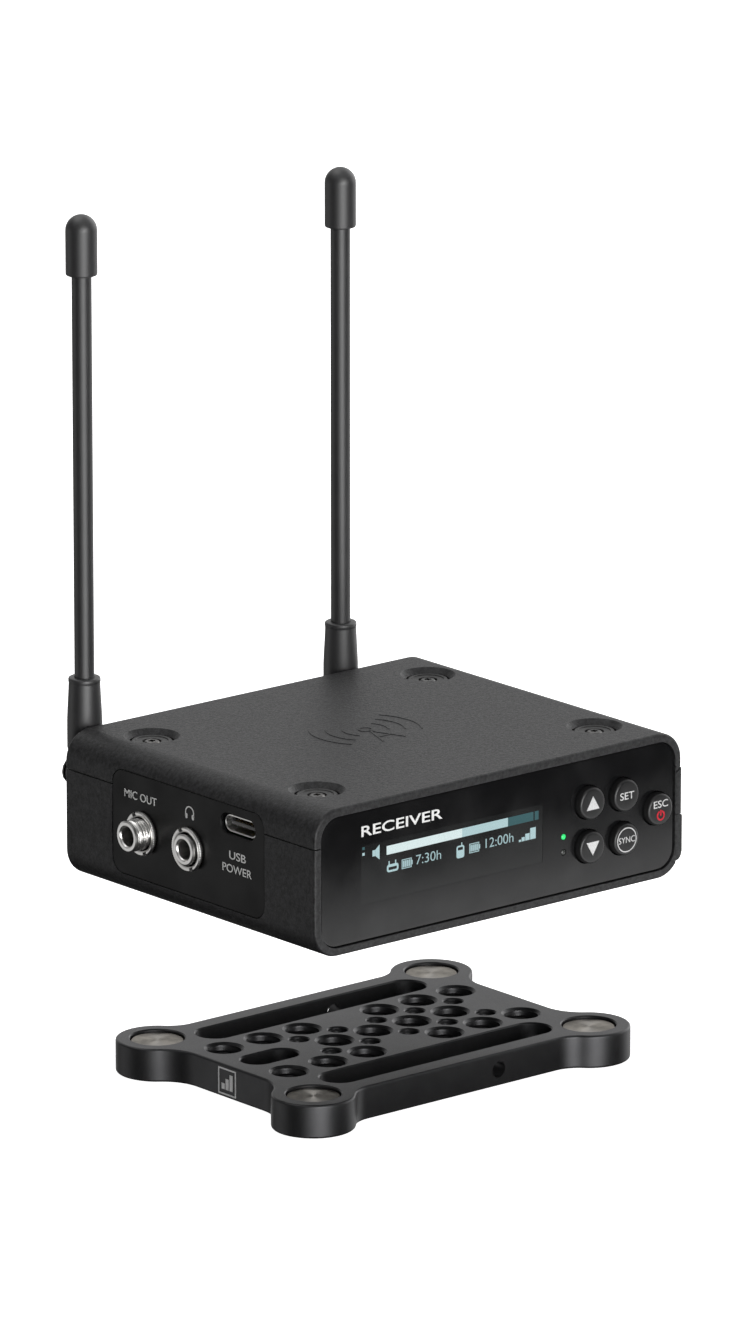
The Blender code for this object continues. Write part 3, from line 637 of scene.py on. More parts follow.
def plate_outline():
    high = local_box("mounting_plate", PLATE)[1]
    cup_x, cup_y = CUP_PLACE.x, CUP_PLACE.y
    waist_x, waist_y = 33.8, 25.1
    reach_short, reach_long = LOBE_R + FILLET_SHORT, LOBE_R + FILLET_LONG
    short_x = waist_x + FILLET_SHORT
    short_y = cup_y - math.sqrt(reach_short ** 2 - (short_x - cup_x) ** 2)
    long_y = waist_y + FILLET_LONG
    long_x = cup_x - math.sqrt(reach_long ** 2 - (long_y - cup_y) ** 2)
    to_lobe = math.degrees(math.atan2(cup_y - short_y, cup_x - short_x))
    from_lobe = math.degrees(math.atan2(long_y - cup_y, long_x - cup_x))
    quadrant = (arc(short_x, short_y, FILLET_SHORT, 180, to_lobe, 14)
                + arc(cup_x, cup_y, LOBE_R, to_lobe - 180, from_lobe, 44)[1:-1]
                + arc(long_x, long_y, FILLET_LONG, from_lobe + 180, 270, 14))
    upper = quadrant + [(-x, y) for x, y in reversed(quadrant)]
    assert max(x for x, _ in upper) <= high.x + 0.05
    return upper + [(-x, -y) for x, y in upper]


def flared_slot(cx, cy, length, width, flare):
    """Cutter for a through slot whose two mouths are chamfered."""
    sections = [(stadium(cx, cy, length + 4 * flare, width + 4 * flare), -flare),
                (stadium(cx, cy, length, width), flare),
                (stadium(cx, cy, length, width), PLATE_T - flare),
                (stadium(cx, cy, length + 4 * flare, width + 4 * flare), PLATE_T + flare)]
    return loft(sections, "Z")


def flared_bore(x, y, radius, flare, steps):
    wide = radius + 2 * flare
    profile = [(0, -flare), (wide, -flare), (radius, flare), (radius, PLATE_T - flare),
               (wide, PLATE_T + flare), (0, PLATE_T + flare)]
    return turned(profile, "Z", (x, y), steps)


def build_plate():
    body = prism(plate_outline(), "Z", 0, PLATE_T, rim=0.45, segments=3)
    big = [(c * PITCH, r * PITCH) for c, r in BIG_HOLES]
    small = [(c * PITCH, r * PITCH) for c, r in SMALL_HOLES]
    cups = {corner: (sx * CUP_PLACE.x, sy * CUP_PLACE.y) for corner, (sx, sy) in CORNERS.items()}
    cutters = [flared_bore(x, y, HOLE_R + 0.12, HOLE_FLARE, 40) for x, y in big]
    cutters += [flared_bore(x, y, SMALL_R + 0.08, 0.22, 28) for x, y in small]
    cutters.append(flared_slot(SLOT_X, 0, SLOT_LENGTH, 2 * HOLE_R, 0.3))
    cross = (CROSS_X, PLATE_T / 2)
    for side in (-1, 1):
        cutters.append(flared_slot(0, side * STRAP_Y, STRAP_LENGTH, STRAP_W, 0.25))
        cutters.append(cylinder(CROSS_R, "Y", cross, *sorted((side * 20, side * 30)), 28))
    cutters.append(cylinder(CROSS_MOUTH_R, "Y", cross, CROSS_MOUTH_Y, 30, 32))
    cup = [(0, 3.4), (5.0, 3.4), (5.0, 6.0), (5.4, 6.4), (0, 6.4)]
    cutters += [turned(cup, "Z", centre, 48) for centre in cups.values()]
    piece("plate_body", cut(body, *cutters), "plate", "plate", ("mounting_plate",), PLATE)
    inset = HOLE_FLARE * 0.9
    liners = [thread("Z", centre, HOLE_R + 0.06, HOLE_R - 0.42, inset, PLATE_T - inset, BIG_PITCH,
                     HOLE_R + 0.3, 40) for centre in big]
    liners += [thread("Z", centre, SMALL_R + 0.04, SMALL_R - 0.26, 0.3, PLATE_T - 0.3, SMALL_PITCH,
                      SMALL_R + 0.2, 28) for centre in small]
    piece("plate_threads", merge(*liners), "plate", "plate", (), PLATE)
    profile = ([(0, DISC_BASE), (DISC_R, DISC_BASE)] + arc(DISC_R - DISC_ROUND, 5.5, DISC_ROUND, 0, 90, 2)
               + [(0.35, 5.7), (0, 5.66)])
    for corner, centre in cups.items():
        place = PLATE + Vector((*centre, 0)) * MM
        piece("plate_disc_" + corner, turned(profile, "Z", (0, 0), 96), "spun", "plate",
              ("plate_magnet_" + corner,), place, own_origin=True)
    mark_plate()


def mark_plate():
    """A plain square with three level bars on the short left side."""
    face = face_of("left", (-33.8, 0.6, 3.05))
    half = 2.35
    frame_line = [(-half, -half), (half, -half), (half, half), (-half, half)]
    parts = [strip(frame_line, 0.3, closed=True)]
    parts += [bar(x, x + 0.85, -1.5, top) for x, top in ((-1.55, -0.4), (-0.42, 0.55), (0.7, 1.5))]
    piece("plate_mark", placed(merge(*parts), face), "white", "plate", (), PLATE)


# ==== shells
def case_block():
    outline = rounded_rect(-HALF_W, HALF_W, 0, CASE_H, CASE_R, 14)
    return prism(outline, "Y", -HALF_D, HALF_D, rim=0.55, segments=4)


def front_opening():
    outline = rounded_rect(-HALF_W + RIM, HALF_W - RIM, RIM, CASE_H - RIM, 3.9, 10)
    return prism(outline, "Y", -HALF_D - 1, PANEL_SEAT)


def io_recess():
    gap = 0.12
    outline = rounded_rect(IO_LOW.y - gap, IO_HIGH.y + gap, IO_LOW.z - gap, IO_HIGH.z + gap, 2.92, 10)
    return prism(outline, "X", -HALF_W - 1, IO_HIGH.x + 0.3)


def usb_slot(x0, x1, grow=0.0):
    half_w, half_h = USB_SLOT_W / 2 + grow, USB_SLOT_H / 2 + grow
    outline = rounded_rect(USB.y - half_w, USB.y + half_w, USB.z - half_h, USB.z + half_h, 1.6 + grow, 8)
    return prism(outline, "X", x0, x1)


HINGE = Vector((41.75, 0, 4.0))                         # the battery door's axis runs along Y
BARREL_R, HINGE_BORE_R, EARS = 1.25, 0.75, (16.0, 21.0)
JACK_HOLE_R = 3.2
POSTS, POST_R, POST_TOP = ((-36, 28), (2, 28), (2, -25.5), (-36, -25.5)), 1.8, 16.4


def beside(side, inner, outer):
    """The stretch from inner to outer on one side of the middle, lower end first."""
    return sorted((side * inner, side * outer))


def build_lower_shell():
    left = -HALF_W + LEFT_WALL
    interior = arc(left + 3.2, WALL + 3.2, 3.2, 180, 270, 8) + [(BAY_IN, WALL), (BAY_IN, 40), (left, 40)]
    antennas = [middle("antenna_%s_hub" % side) for side in ("left", "right")]
    cutters = [
        box(-FAR, FAR, -FAR, FAR, SEAM_LOW, FAR),
        prism(interior, "Y", WALL_BACK, HALF_D - WALL),
        box(left, BAY_OUT, WALL_BACK, -29.2, 4.8, 40),
        front_opening(),
        box(BAY_OUT, FAR, WALL_BACK, HALF_D - WALL, SILL_H, 40),
        box(41.64, FAR, -40, -32, SILL_H, 40),
        box(41.4, FAR, 0, FAR, SILL_H, 40),
        box(BAY_OUT, FAR, 0, FAR, SILL_H, 5.6),
        box(BAY_IN - 1, BAY_OUT + 1, -26.6, 26.6, 3.4, 18.6),
        io_recess(),
        usb_slot(-FAR, -40),
    ]
    cutters += [cylinder(JACK_HOLE_R, "X", (middle(n).y, middle(n).z), -FAR, -39) for n in JACKS]
    cutters += [cylinder(2.2, "Y", (hub.x, hub.z), 30, 40) for hub in antennas]
    foot_well = [(0, -1), (5.2, -1), (5.2, -0.02), (4.9, 0.28), (4.9, 1.2), (0, 1.2)]
    for sx, sy in CORNERS.values():
        cutters.append(turned(foot_well, "Z", (sx * FOOT.x, sy * FOOT.y), 48))
        cutters.append(cylinder(1.9, "Z", (sx * SCREW.x, sy * SCREW.y), -1, 0.8, 32))
        cutters.append(cylinder(1.1, "Z", (sx * SCREW.x, sy * SCREW.y), 0, 3, 24))
    for row in range(6):
        cutters.append(prism(stadium(0, -9 + 3.6 * row, 20, 1.1, 8), "Z", -1, 0.45))
    shell = cut(case_block(), *cutters)
    ears = []
    bores = []
    for side in (-1, 1):
        y0, y1 = beside(side, *EARS)
        ears.append(cylinder(BARREL_R, "Y", (HINGE.x, HINGE.z), y0, y1, 32))
        ears.append(box(BAY_OUT - 0.5, HINGE.x, y0, y1, 2.05, HINGE.z + 0.7))
        bores.append(cylinder(HINGE_BORE_R, "Y", (HINGE.x, HINGE.z), y0 - 1, y1 + 1, 24))
    posts = [cylinder(POST_R, "Z", place, WALL - 0.5, POST_TOP, 24) for place in POSTS]
    shell = cut(fuse(shell, *ears, *posts), *bores)
    obj = piece("case_lower", shell, "case", "receiver", ("lower_shell",))
    softened(obj, 0.09)


def build_upper_shell():
    slope = 0.9 / 1.3            # of the mitred edge over the battery door
    mitre_x, mitre_z, reach = 41.7, 20.25, 7.0
    below = [(-FAR, -5), (HALF_W + reach, -5), (HALF_W + reach, mitre_z + slope * reach),
             (mitre_x, mitre_z - slope * (HALF_W - mitre_x)), (mitre_x, SEAM_HIGH), (-FAR, SEAM_HIGH)]
    interior = rounded_rect(-HALF_W + LEFT_WALL, HALF_W - RIM, -5, CASE_H - WALL, 3.6, 10)
    shell = cut(case_block(), prism(below, "Y", -FAR, FAR), prism(interior, "Y", WALL_BACK, HALF_D - WALL),
                front_opening(), io_recess(), usb_slot(-FAR, -40))
    corners = [(sx * CUP.x, sy * CUP.y) for sx, sy in CORNERS.values()]
    bosses = [cylinder(5.4, "Z", corner, 23.4, CASE_H - WALL + 0.4, 48) for corner in corners]
    profile = [(0, 21), (1.2, 21), (1.2, 24.4), (4.1, 24.4), (4.1, 26.0), (6.1, 28.0), (0, 28)]
    shell = cut(fuse(shell, *bosses), *[turned(profile, "Z", corner, 64) for corner in corners])
    obj = piece("case_upper", shell, "case", "receiver", ("upper_shell",),
                triangles=True)
    softened(obj, 0.09)
    lip = cut(prism(rounded_rect(-40.6, 40.4, -30, 33.2, 2.0), "Z", 19.2, 21.6),
              prism(rounded_rect(-39.9, 39.7, -33, 32.5, 1.4), "Z", 18, 23),
              box(38.3, 45, -40, 40, 15, 25), box(-45, -39.5, -17.2, -10.2, 15, 25))
    piece("case_seam_lip", lip, "inner", "receiver", ())


def top_mark():
    """Thin raised outline on the top: an antenna mast with two waves on each side."""
    face = face_of("top", (-0.6, -0.4, CASE_H))
    span, line = (-0.05, 0.09), 0.34
    parts = [strip([(-2.6, -6.2), (0, 0.6), (2.6, -6.2)], line, span=span),
             strip([(-1.55, -3.4), (1.55, -3.4)], line, span=span),
             strip(circle((0, 1.9), 1.25, 32), line, closed=True, span=span)]
    for radius in (4.2, 7.2, 10.2):
        for start in (-36, 144):
            parts.append(strip(arc(0, 1.9, radius, start, start + 72, 26), line, span=span))
    piece("top_mark", placed(merge(*parts), face), "case", "receiver", ())


def build_top_disc(corner, centre):
    ring = [(0, 21.6), (0.9, 21.6), (0.9, 24.7), (3.75, 24.7), (3.75, 25.95), (3.55, 26.15), (3.0, 26.15),
            (2.9, 26.0), (1.75, 26.0), (1.65, 25.5), (0, 25.5)]
    piece("top_disc_" + corner, turned(ring, "Z", centre, 64), "dark_disc", "receiver",
          ("top_magnet_" + corner,))
    head = turned([(0, 25.3), (1.45, 25.3), (1.45, 25.8), (1.2, 26.02), (0, 26.08)], "Z", centre, 40)
    socket = prism(star(centre, 0.78, 0.5), "Z", 25.55, 27)
    piece("top_screw_" + corner, cut(head, socket), "dark_steel", "receiver", ())


def build_foot(corner, centre):
    """Rubber pad with two fine raised rings underneath."""
    low = local_box("foot_" + corner)[0].z
    profile = [(0, low), (3.9, low), (4.35, low + 0.1), (4.55, low + 0.35), (4.6, low + 0.6), (4.6, 0.9),
               (0, 0.9)]
    rings = [tube_wall([(r - 0.12, low + 0.02), (r, low), (r + 0.12, low + 0.02), (r, low + 0.2)], "Z",
                       centre) for r in (1.4, 2.5)]
    piece("foot_pad_" + corner, merge(turned(profile, "Z", centre, 56), *rings), "foot", "receiver",
          ("foot_" + corner,))


def build_cups_and_feet():
    for corner, (sx, sy) in CORNERS.items():
        build_top_disc(corner, (sx * CUP.x, sy * CUP.y))
        build_foot(corner, (sx * FOOT.x, sy * FOOT.y))


def star(centre, outer, inner, points=6):
    """Outline of a six-lobed screw socket."""
    outline = []
    for i in range(points * 6):
        a = 2 * math.pi * i / (points * 6)
        radius = (outer + inner) / 2 + (outer - inner) / 2 * math.cos(points * a)
        outline.append((centre[0] + radius * math.cos(a), centre[1] + radius * math.sin(a)))
    return outline


# ==== front panel, display and keys
KEY_R, KEY_ROUND, KEY_HOLE_R, KEY_MOUTH_R, LIGHT_HOLE_R = 2.95, 0.5, 3.08, 3.25, 0.62


def build_front_panel():
    grow = RIM + 0.09            # from the case's side to the panel's edge
    outline = rounded_rect(-HALF_W + grow, HALF_W - grow, grow, CASE_H - grow, 3.8, 12)
    face = prism(outline, "Y", PANEL_LOW.y, PANEL_HIGH.y, rim=0.34, ends="start", segments=2)
    window = rounded_rect(WINDOW_LOW.x, WINDOW_HIGH.x, WINDOW_LOW.z, WINDOW_HIGH.z, 0.4, 4)
    cutters = [prism(window, "Y", -40, -30)]
    ring = [(0, -40), (KEY_MOUTH_R, -40), (KEY_MOUTH_R, PANEL_LOW.y - 0.02),
            (KEY_HOLE_R, PANEL_LOW.y + 0.16), (KEY_HOLE_R, -30), (0, -30)]
    for name in BUTTONS:
        place = middle(name)
        cutters.append(turned(ring, "Y", (place.x, place.z), 56))
    for name in ("led_link", "led_audio"):
        place = middle(name)
        cutters.append(cylinder(LIGHT_HOLE_R, "Y", (place.x, place.z), -40, -30, 28))
    piece("panel_face", cut(face, *cutters), "panel", "receiver", ("front_panel",))
    word = lettering("RECEIVER", 18.7, 1.95, (WINDOW_LOW.x + 9.4, WINDOW_HIGH.z + 2.65), 0.012)
    piece("panel_word", placed(word, face_of("front", (0, PANEL_LOW.y, 0))), "silver_ink",
          "receiver", ())


def battery_icon(x, y):
    parts = [strip([(x - 1.15, y - 0.8), (x + 1.0, y - 0.8), (x + 1.0, y + 0.8), (x - 1.15, y + 0.8)], 0.16,
                   closed=True), bar(x + 1.08, x + 1.3, y - 0.4, y + 0.4)]
    return parts + [bar(x - 0.98 + 0.47 * i, x - 0.6 + 0.47 * i, y - 0.6, y + 0.6) for i in range(4)]


def receiver_icon(x, y):
    body = rounded_rect(x - 1.15, x + 1.15, y - 0.85, y + 0.2, 0.3, 4)
    return [strip(body, 0.36, closed=True), bar(x - 1.0, x + 1.0, y - 0.12, y + 0.15),
            bar(x - 0.95, x - 0.7, y + 0.1, y + 1.0), bar(x + 0.55, x + 0.8, y + 0.1, y + 1.0)]


def pack_icon(x, y):
    body = rounded_rect(x - 0.75, x + 0.75, y - 1.25, y + 0.75, 0.3, 4)
    return [strip(body, 0.3, closed=True), bar(x - 0.62, x + 0.62, y - 1.1, y + 0.05),
            bar(x + 0.2, x + 0.42, y + 0.8, y + 1.4)]


def speaker_icon(x, y):
    return [bar(x - 0.85, x - 0.25, y - 0.55, y + 0.55),
            patch([(x - 0.2, y - 0.55), (x + 0.75, y - 1.35), (x + 0.75, y + 1.35), (x - 0.2, y + 0.55)])]


def build_display():
    """Smoked window whose lit content is a thin layer on its face."""
    lap = 0.15                   # the glass reaches this far behind the panel's edge
    outline = rounded_rect(WINDOW_LOW.x - lap, WINDOW_HIGH.x + lap, WINDOW_LOW.z - lap,
                           WINDOW_HIGH.z + lap, 0.5, 4)
    glass = prism(outline, "Y", WINDOW_LOW.y, WINDOW_HIGH.y)
    piece("display_glass", glass, "window", "receiver", ("display_window",))
    face = face_of("front", (WINDOW_LOW.x, WINDOW_LOW.y, WINDOW_LOW.z))
    level = (8.15, 9.75)
    steps = ((0, 0.5, 0.4), (0.65, 0.7, 0.75), (1.5, 1.0, 1.25), (2.65, 1.3, 2.1))
    staircase = [bar(36.7 + x, 36.7 + x + w, 4.75, 4.75 + h) for x, w, h in steps]
    clock = [lettering("7:30h", 5.8, 1.75, (15.6, 5.95), -0.006),
             lettering("12:00h", 6.5, 1.75, (32.15, 5.95), -0.006)]
    groups = {
        "bright": ("screen_bright", [bar(5.9, 23.4, *level)]),
        "main": ("screen", [bar(23.4, 34.1, *level), bar(0.3, 0.85, 9.0, 9.5)] + speaker_icon(3.5, 9.0)
                 + receiver_icon(7.3, 5.9) + pack_icon(23.0, 5.8) + staircase),
        "text": ("screen_text", battery_icon(10.6, 5.75) + battery_icon(26.3, 5.7) + clock),
        "dim": ("screen_dim", [bar(34.15, 40.1, *level), bar(40.4, 41.3, *level),
                               bar(0.3, 0.85, 10.05, 10.55)]),
    }
    for name, (look, parts) in groups.items():
        piece("display_" + name, placed(merge(*parts), face), look, "receiver", ())
    dome = [(0, -34.86), (0.2, -34.84), (0.38, -34.78), (0.5, -34.68), (0.5, -31.5), (0, -31.5)]
    for name, look, slot in (("led_link", "led_on", "led_green"), ("led_audio", "led_off_painted_glow", "led_dark")):
        place = middle(name)
        piece(name + "_pipe", turned(dome, "Y", (place.x, place.z), 32), look, "receiver", (name,))


def key_marks(name):
    """The marks printed on a key, each as (ink, mesh)."""
    ink = (-0.03, 0.035)
    if name == "button_up":
        return [("white", patch([(-1.5, -1.1), (1.5, -1.1), (0, 1.4)], ink))]
    if name == "button_down":
        return [("white", patch([(-1.5, 1.1), (0, -1.4), (1.5, 1.1)], ink))]
    if name == "button_set":
        return [("white", lettering("SET", 3.3, 1.35, (0, 0), 0.002, ink))]
    if name == "button_sync":
        return [("dim_ink", merge(strip(circle((0, 0), 2.2, 72), 0.2, True, (-0.05, 0.03)),
                                  lettering("SYNC", 3.9, 1.15, (0, 0), 0.0, ink)))]
    ring = arc(0, -1.05, 0.8, 112, 428, 40)
    return [("white", lettering("ESC", 3.4, 1.35, (0, 1.1), 0.002, ink)),
            ("red", merge(strip(ring, 0.32, False, ink), bar(-0.15, 0.15, -1.1, 0.0, ink)))]


def build_buttons():
    for name in BUTTONS:
        low, high = local_box(name)
        x, z, front = (low.x + high.x) / 2, (low.z + high.z) / 2, low.y
        profile = [(0, front + 0.06), (1.2, front + 0.045), (KEY_R - KEY_ROUND, front)]
        profile += arc(KEY_R - KEY_ROUND, front + KEY_ROUND, KEY_ROUND, -90, 0, 6)[1:]
        profile += [(KEY_R, PANEL_SEAT), (KEY_R + 0.5, PANEL_SEAT), (KEY_R + 0.5, -32.3), (0, -31.95)]
        piece("key_" + name[7:], turned(profile, "Y", (x, z), 72), "key", name, (name,))
        face = face_of("front", (x, front + 0.035, z))
        for index, (ink, mesh) in enumerate(key_marks(name)):
            piece("%s_mark_%d" % (name, index), placed(mesh, face), ink, name, ())


# ==== connectors
def build_io_panel():
    outline = rounded_rect(IO_LOW.y, IO_HIGH.y, IO_LOW.z, IO_HIGH.z, 2.8, 12)
    plate = prism(outline, "X", IO_LOW.x, IO_HIGH.x, rim=0.16, ends="start", segments=2)
    holes = [cylinder(JACK_HOLE_R, "X", (middle(n).y, middle(n).z), -FAR, -40, 40) for n in JACKS]
    sections = []
    for half_w, half_h, x in ((5.15, 2.27, -43.2), (4.75, 1.87, -42.75), (4.75, 1.87, -40)):
        sections.append((rounded_rect(USB.y - half_w, USB.y + half_w, USB.z - half_h, USB.z + half_h,
                                      half_h - 0.1, 10), x))
    mouth = loft(sections, "X")
    piece("io_face", cut(plate, mouth, *holes), "io_panel", "receiver", ("io_panel",))
    face = face_of("left", (IO_LOW.x, 0, 0))
    phones_y = middle("phones_jack").y
    cups = [rounded_rect(s * 0.9 - 0.27, s * 0.9 + 0.27, 18.45, 19.4, 0.2, 4) for s in (-1, 1)]
    headband = strip([(1.12, 18.9)] + arc(0, 19.6, 1.12, 0, 180, 24) + [(-1.12, 18.9)], 0.24)
    icon = merge(headband, *[patch(cup) for cup in cups])
    placed(icon, Matrix.Translation((-phones_y, 0, 0)))
    words = [lettering("MIC OUT", 9.1, 1.5, (-13.55, 19.45), 0.004),
             lettering("USB", 4.6, 1.5, (-USB.y - 0.1, 14.4), 0.004),
             lettering("POWER", 8.1, 1.5, (-USB.y - 0.25, 11.9), 0.004)]
    piece("io_labels", placed(merge(icon, *words), face), "silver_ink", "receiver", ())


JACK_Z, BUSH_BORE_R, BUSH_R = 13.0, 1.8, 2.86


def build_jack_body(name, y):
    """Threaded bush on a square block, with the spring contacts inside."""
    tip, nut_front = local_box(name)[0].x, local_box(name + "_nut")[0].x
    centre = (y, JACK_Z)
    bush = [(BUSH_BORE_R, -31.5), (BUSH_BORE_R, tip + 0.35), (2.0, tip + 0.05), (2.08, tip), (2.6, tip),
            (BUSH_R, tip + 0.2), (BUSH_R, tip + 0.42), (2.52, tip + 0.5), (2.52, -40.3), (2.52, -31.5)]
    block = box(-40.4, -30, y - 3.4, y + 3.4, 9.9, 16.3, 0.15)
    parts = [tube_wall(bush, "X", centre, 64), cut(block, cylinder(BUSH_BORE_R, "X", centre, -FAR, -36.5))]
    if nut_front - tip > 1.5:
        parts.append(thread("X", centre, 2.6, 2.88, tip + 0.45, nut_front + 0.7, 0.62, 2.3, 64, 12))
    piece(name + "_body", merge(*parts), "nickel", "receiver", (name,))
    sleeve = [(1.25, -32.5), (1.25, -36.5), (1.7, -36.9), (1.85, -36.5), (1.85, -32.5)]
    contacts = merge(tube_wall(sleeve, "X", centre, 32), cylinder(1.85, "X", centre, -31.9, -31.6, 32))
    piece(name + "_contacts", contacts, "dark_steel", "receiver", ())


def build_ring_nut(name, y, radius=4.05, teeth=120):
    """Finely toothed ring nut with two slots for its spanner."""
    front, back = (corner.x for corner in local_box(name + "_nut"))

    def ring(scale):
        outline = []
        for i in range(teeth):
            a = 2 * math.pi * i / teeth
            r = (radius - (0.07 if i % 2 else 0.0)) * scale
            outline.append((y + r * math.cos(a), JACK_Z + r * math.sin(a)))
        return outline

    body = loft([(ring(0.985), back), (ring(1), back - 0.1), (ring(1), front + 0.24),
                 (ring(0.985), front + 0.08), (ring(0.955), front)], "X")
    bore = [(0, -FAR), (3.6, -FAR), (3.6, front), (3.15, front + 0.2), (3.15, -40), (0, -40)]
    slots = []
    for turn in (-24, 156):
        spin = Matrix.Translation((0, y, JACK_Z)) @ Matrix.Rotation(math.radians(turn), 4, "X")
        slots.append(placed(box(front - 1, back + 1, -0.5, 0.5, 3.35, 5.2), spin))
    nut = cut(body, turned(bore, "X", (y, JACK_Z), 64), *slots)
    piece(name + "_ring_nut", nut, "nickel", "receiver", (name + "_nut",))


def build_jacks():
    for name in JACKS:
        build_jack_body(name, middle(name).y)
        build_ring_nut(name, middle(name).y)


def build_usb():
    low, high = local_box("usb_c_shell")
    width, height = high.y - low.y, high.z - low.z
    sections = []
    for inset, x in ((0.0, high.x), (0.0, low.x + 0.12), (0.04, low.x + 0.04), (0.12, low.x), (0.24, low.x),
                     (0.33, low.x + 0.08), (0.36, low.x + 0.25), (0.36, high.x)):
        sections.append((stadium(USB.y, USB.z, width - 2 * inset, height - 2 * inset, 16), x))
    piece("usb_port_shell", loft(sections, "X", True), "nickel", "receiver", ("usb_c_shell",))
    tongue = box(-41.6, -36, USB.y - 3.35, USB.y + 3.35, USB.z - 0.35, USB.z + 0.35, 0.12)
    carrier = box(-36.5, -34.8, USB.y - 3.6, USB.y + 3.6, USB.z - 1.25, USB.z + 1.25, 0.05)
    piece("usb_port_tongue", merge(tongue, carrier), "tongue", "receiver", ("usb_c_tongue",))
    pins = []
    for i in range(12):
        y = USB.y - 2.75 + 0.5 * i
        for z in (USB.z - 0.35, USB.z + 0.35):
            pins.append(box(-41.2, -37, y - 0.12, y + 0.12, z - 0.03, z + 0.03))
    piece("usb_port_pins", merge(*pins), "gold", "receiver", ())


# ==== battery bay
CELL_R = 7.25


def build_cell(name, way):
    """A round cell. way is +1 when its button end points to the rear, and -1 to the front."""
    low, high = local_box(name)
    centre = ((low.x + high.x) / 2, (low.z + high.z) / 2)
    half = (high.y - low.y) / 2

    def back(inset):
        return -way * (half - inset)

    def tip(inset):
        return way * (half - inset)

    r = CELL_R
    sleeve = [(0, back(0.12)), (5.6, back(0.12)), (5.9, back(0)), (r - 0.5, back(0)), (r - 0.12, back(0.15)),
              (r, back(0.5)), (r, tip(1.8)), (r - 0.15, tip(1.42)), (r - 0.5, tip(1.3)), (5.2, tip(1.3)),
              (5.0, tip(1.5)), (0, tip(1.5))]
    piece(name + "_sleeve", turned(sleeve, "Y", centre, 64), "cell", "receiver", (name,))
    button = [(0, tip(1.55)), (4.4, tip(1.55)), (4.4, tip(1.42)), (2.75, tip(1.3)), (2.6, tip(0.2)),
              (2.3, tip(0)), (0, tip(0))]
    piece(name + "_caps", turned(button, "Y", centre, 48), "nickel", "receiver", ())
    band = [(r - 0.2, tip(12)), (r + 0.02, tip(12)), (r + 0.02, tip(1.9)), (r - 0.2, tip(1.9))]
    piece(name + "_band", tube_wall(band, "Y", centre, 64), "cell_band", "receiver", ())


def build_cells():
    build_cell("battery_cell_inner", 1)
    build_cell("battery_cell_outer", -1)


# ==== battery door
def build_door_skin():
    proud = HALF_W + 0.27        # the thicker lower half stands this far out
    sill = arc(HINGE.x, HINGE.z, 1.45, -89, -12, 9)
    profile = ([(41.7, 3.95)] + sill + [(proud - 0.05, 4.1), (proud, 4.3)]
               + [(proud, 10.9), (proud - 0.03, 11.0), (HALF_W + 0.1, 11.12), (HALF_W, 11.16)]
               + [(HALF_W, 19.9), (41.7, 19.0)])
    skin = prism(profile, "Y", -HALF_D, HALF_D, rim=0.16, segments=2)
    additions = [cylinder(BARREL_R, "Y", (HINGE.x, HINGE.z), -32.5, 32.5, 32)]
    additions += [box(38.9, 42.0, y - 6, y + 6, 8, 14, 0.3) for y in (-14, 14)]
    cutters = [cylinder(HINGE_BORE_R, "Y", (HINGE.x, HINGE.z), -32, 32, 24)]
    cutters += [box(41, 45, *beside(side, HALF_D - 0.15, 40), 0, 3.97) for side in (-1, 1)]
    for side in (-1, 1):
        cutters.append(box(38, 45, *beside(side, EARS[0] - 0.3, EARS[1] + 0.3), 0, HINGE.z + 1.6))
        cutters.append(box(40, 45, *beside(side, HALF_D - 8.0, 40), 11.15, 25))
    obj = piece("door_skin", cut(fuse(skin, *additions), *cutters), "case", "battery_door",
                ("battery_door",))
    softened(obj, 0.08)


def mark_door():
    """A cell, an opening arrow and OPEN on the door's upper half."""
    arrow = [(-1.6, 0.9), (0, -1.1), (1.6, 0.9)]
    cell = rounded_rect(-6.6, -3.0, -0.95, 0.95, 0.3, 4)
    parts = [strip(arrow, 0.32), strip(cell, 0.22, closed=True), bar(-2.9, -2.55, -0.4, 0.4),
             lettering("OPEN", 5.2, 1.5, (6.2, 0), 0.008)]
    piece("door_labels", placed(merge(*parts), face_of("right", (HALF_W, 0, 15.4))), "grey_ink",
          "battery_door", ())


def build_catch(name, side):
    """Squeeze catch with three grip grooves. Its rail reaches inwards behind the door."""
    block = [(41.72, 11.26), (HALF_W, 11.26), (HALF_W, 19.9), (41.72, 19.03)]
    body = fuse(prism(block, "Y", *beside(side, HALF_D, HALF_D - 6.9), rim=0.16, segments=2),
                box(41.2, 42.1, *beside(side, 32.6, 29.0), 13, 17),
                box(40.95, 41.4, *beside(side, 32.6, 22.0), 13, 17))
    grips = [prism(rounded_rect(side * y - 0.28, side * y + 0.28, 12.8, 17.8, 0.27, 6), "X", 42.75, 44)
             for y in (30.2, 31.5, 32.8)]
    piece(name + "_slide", cut(body, *grips), "case", name, (name,))


def build_door():
    build_door_skin()
    mark_door()
    build_catch("door_catch_front", -1)
    build_catch("door_catch_rear", 1)


# ==== antennas
ROD_R, ROD_LOW, CAP_R, EYE_R = 1.8, 32.6, 2.87, 1.8


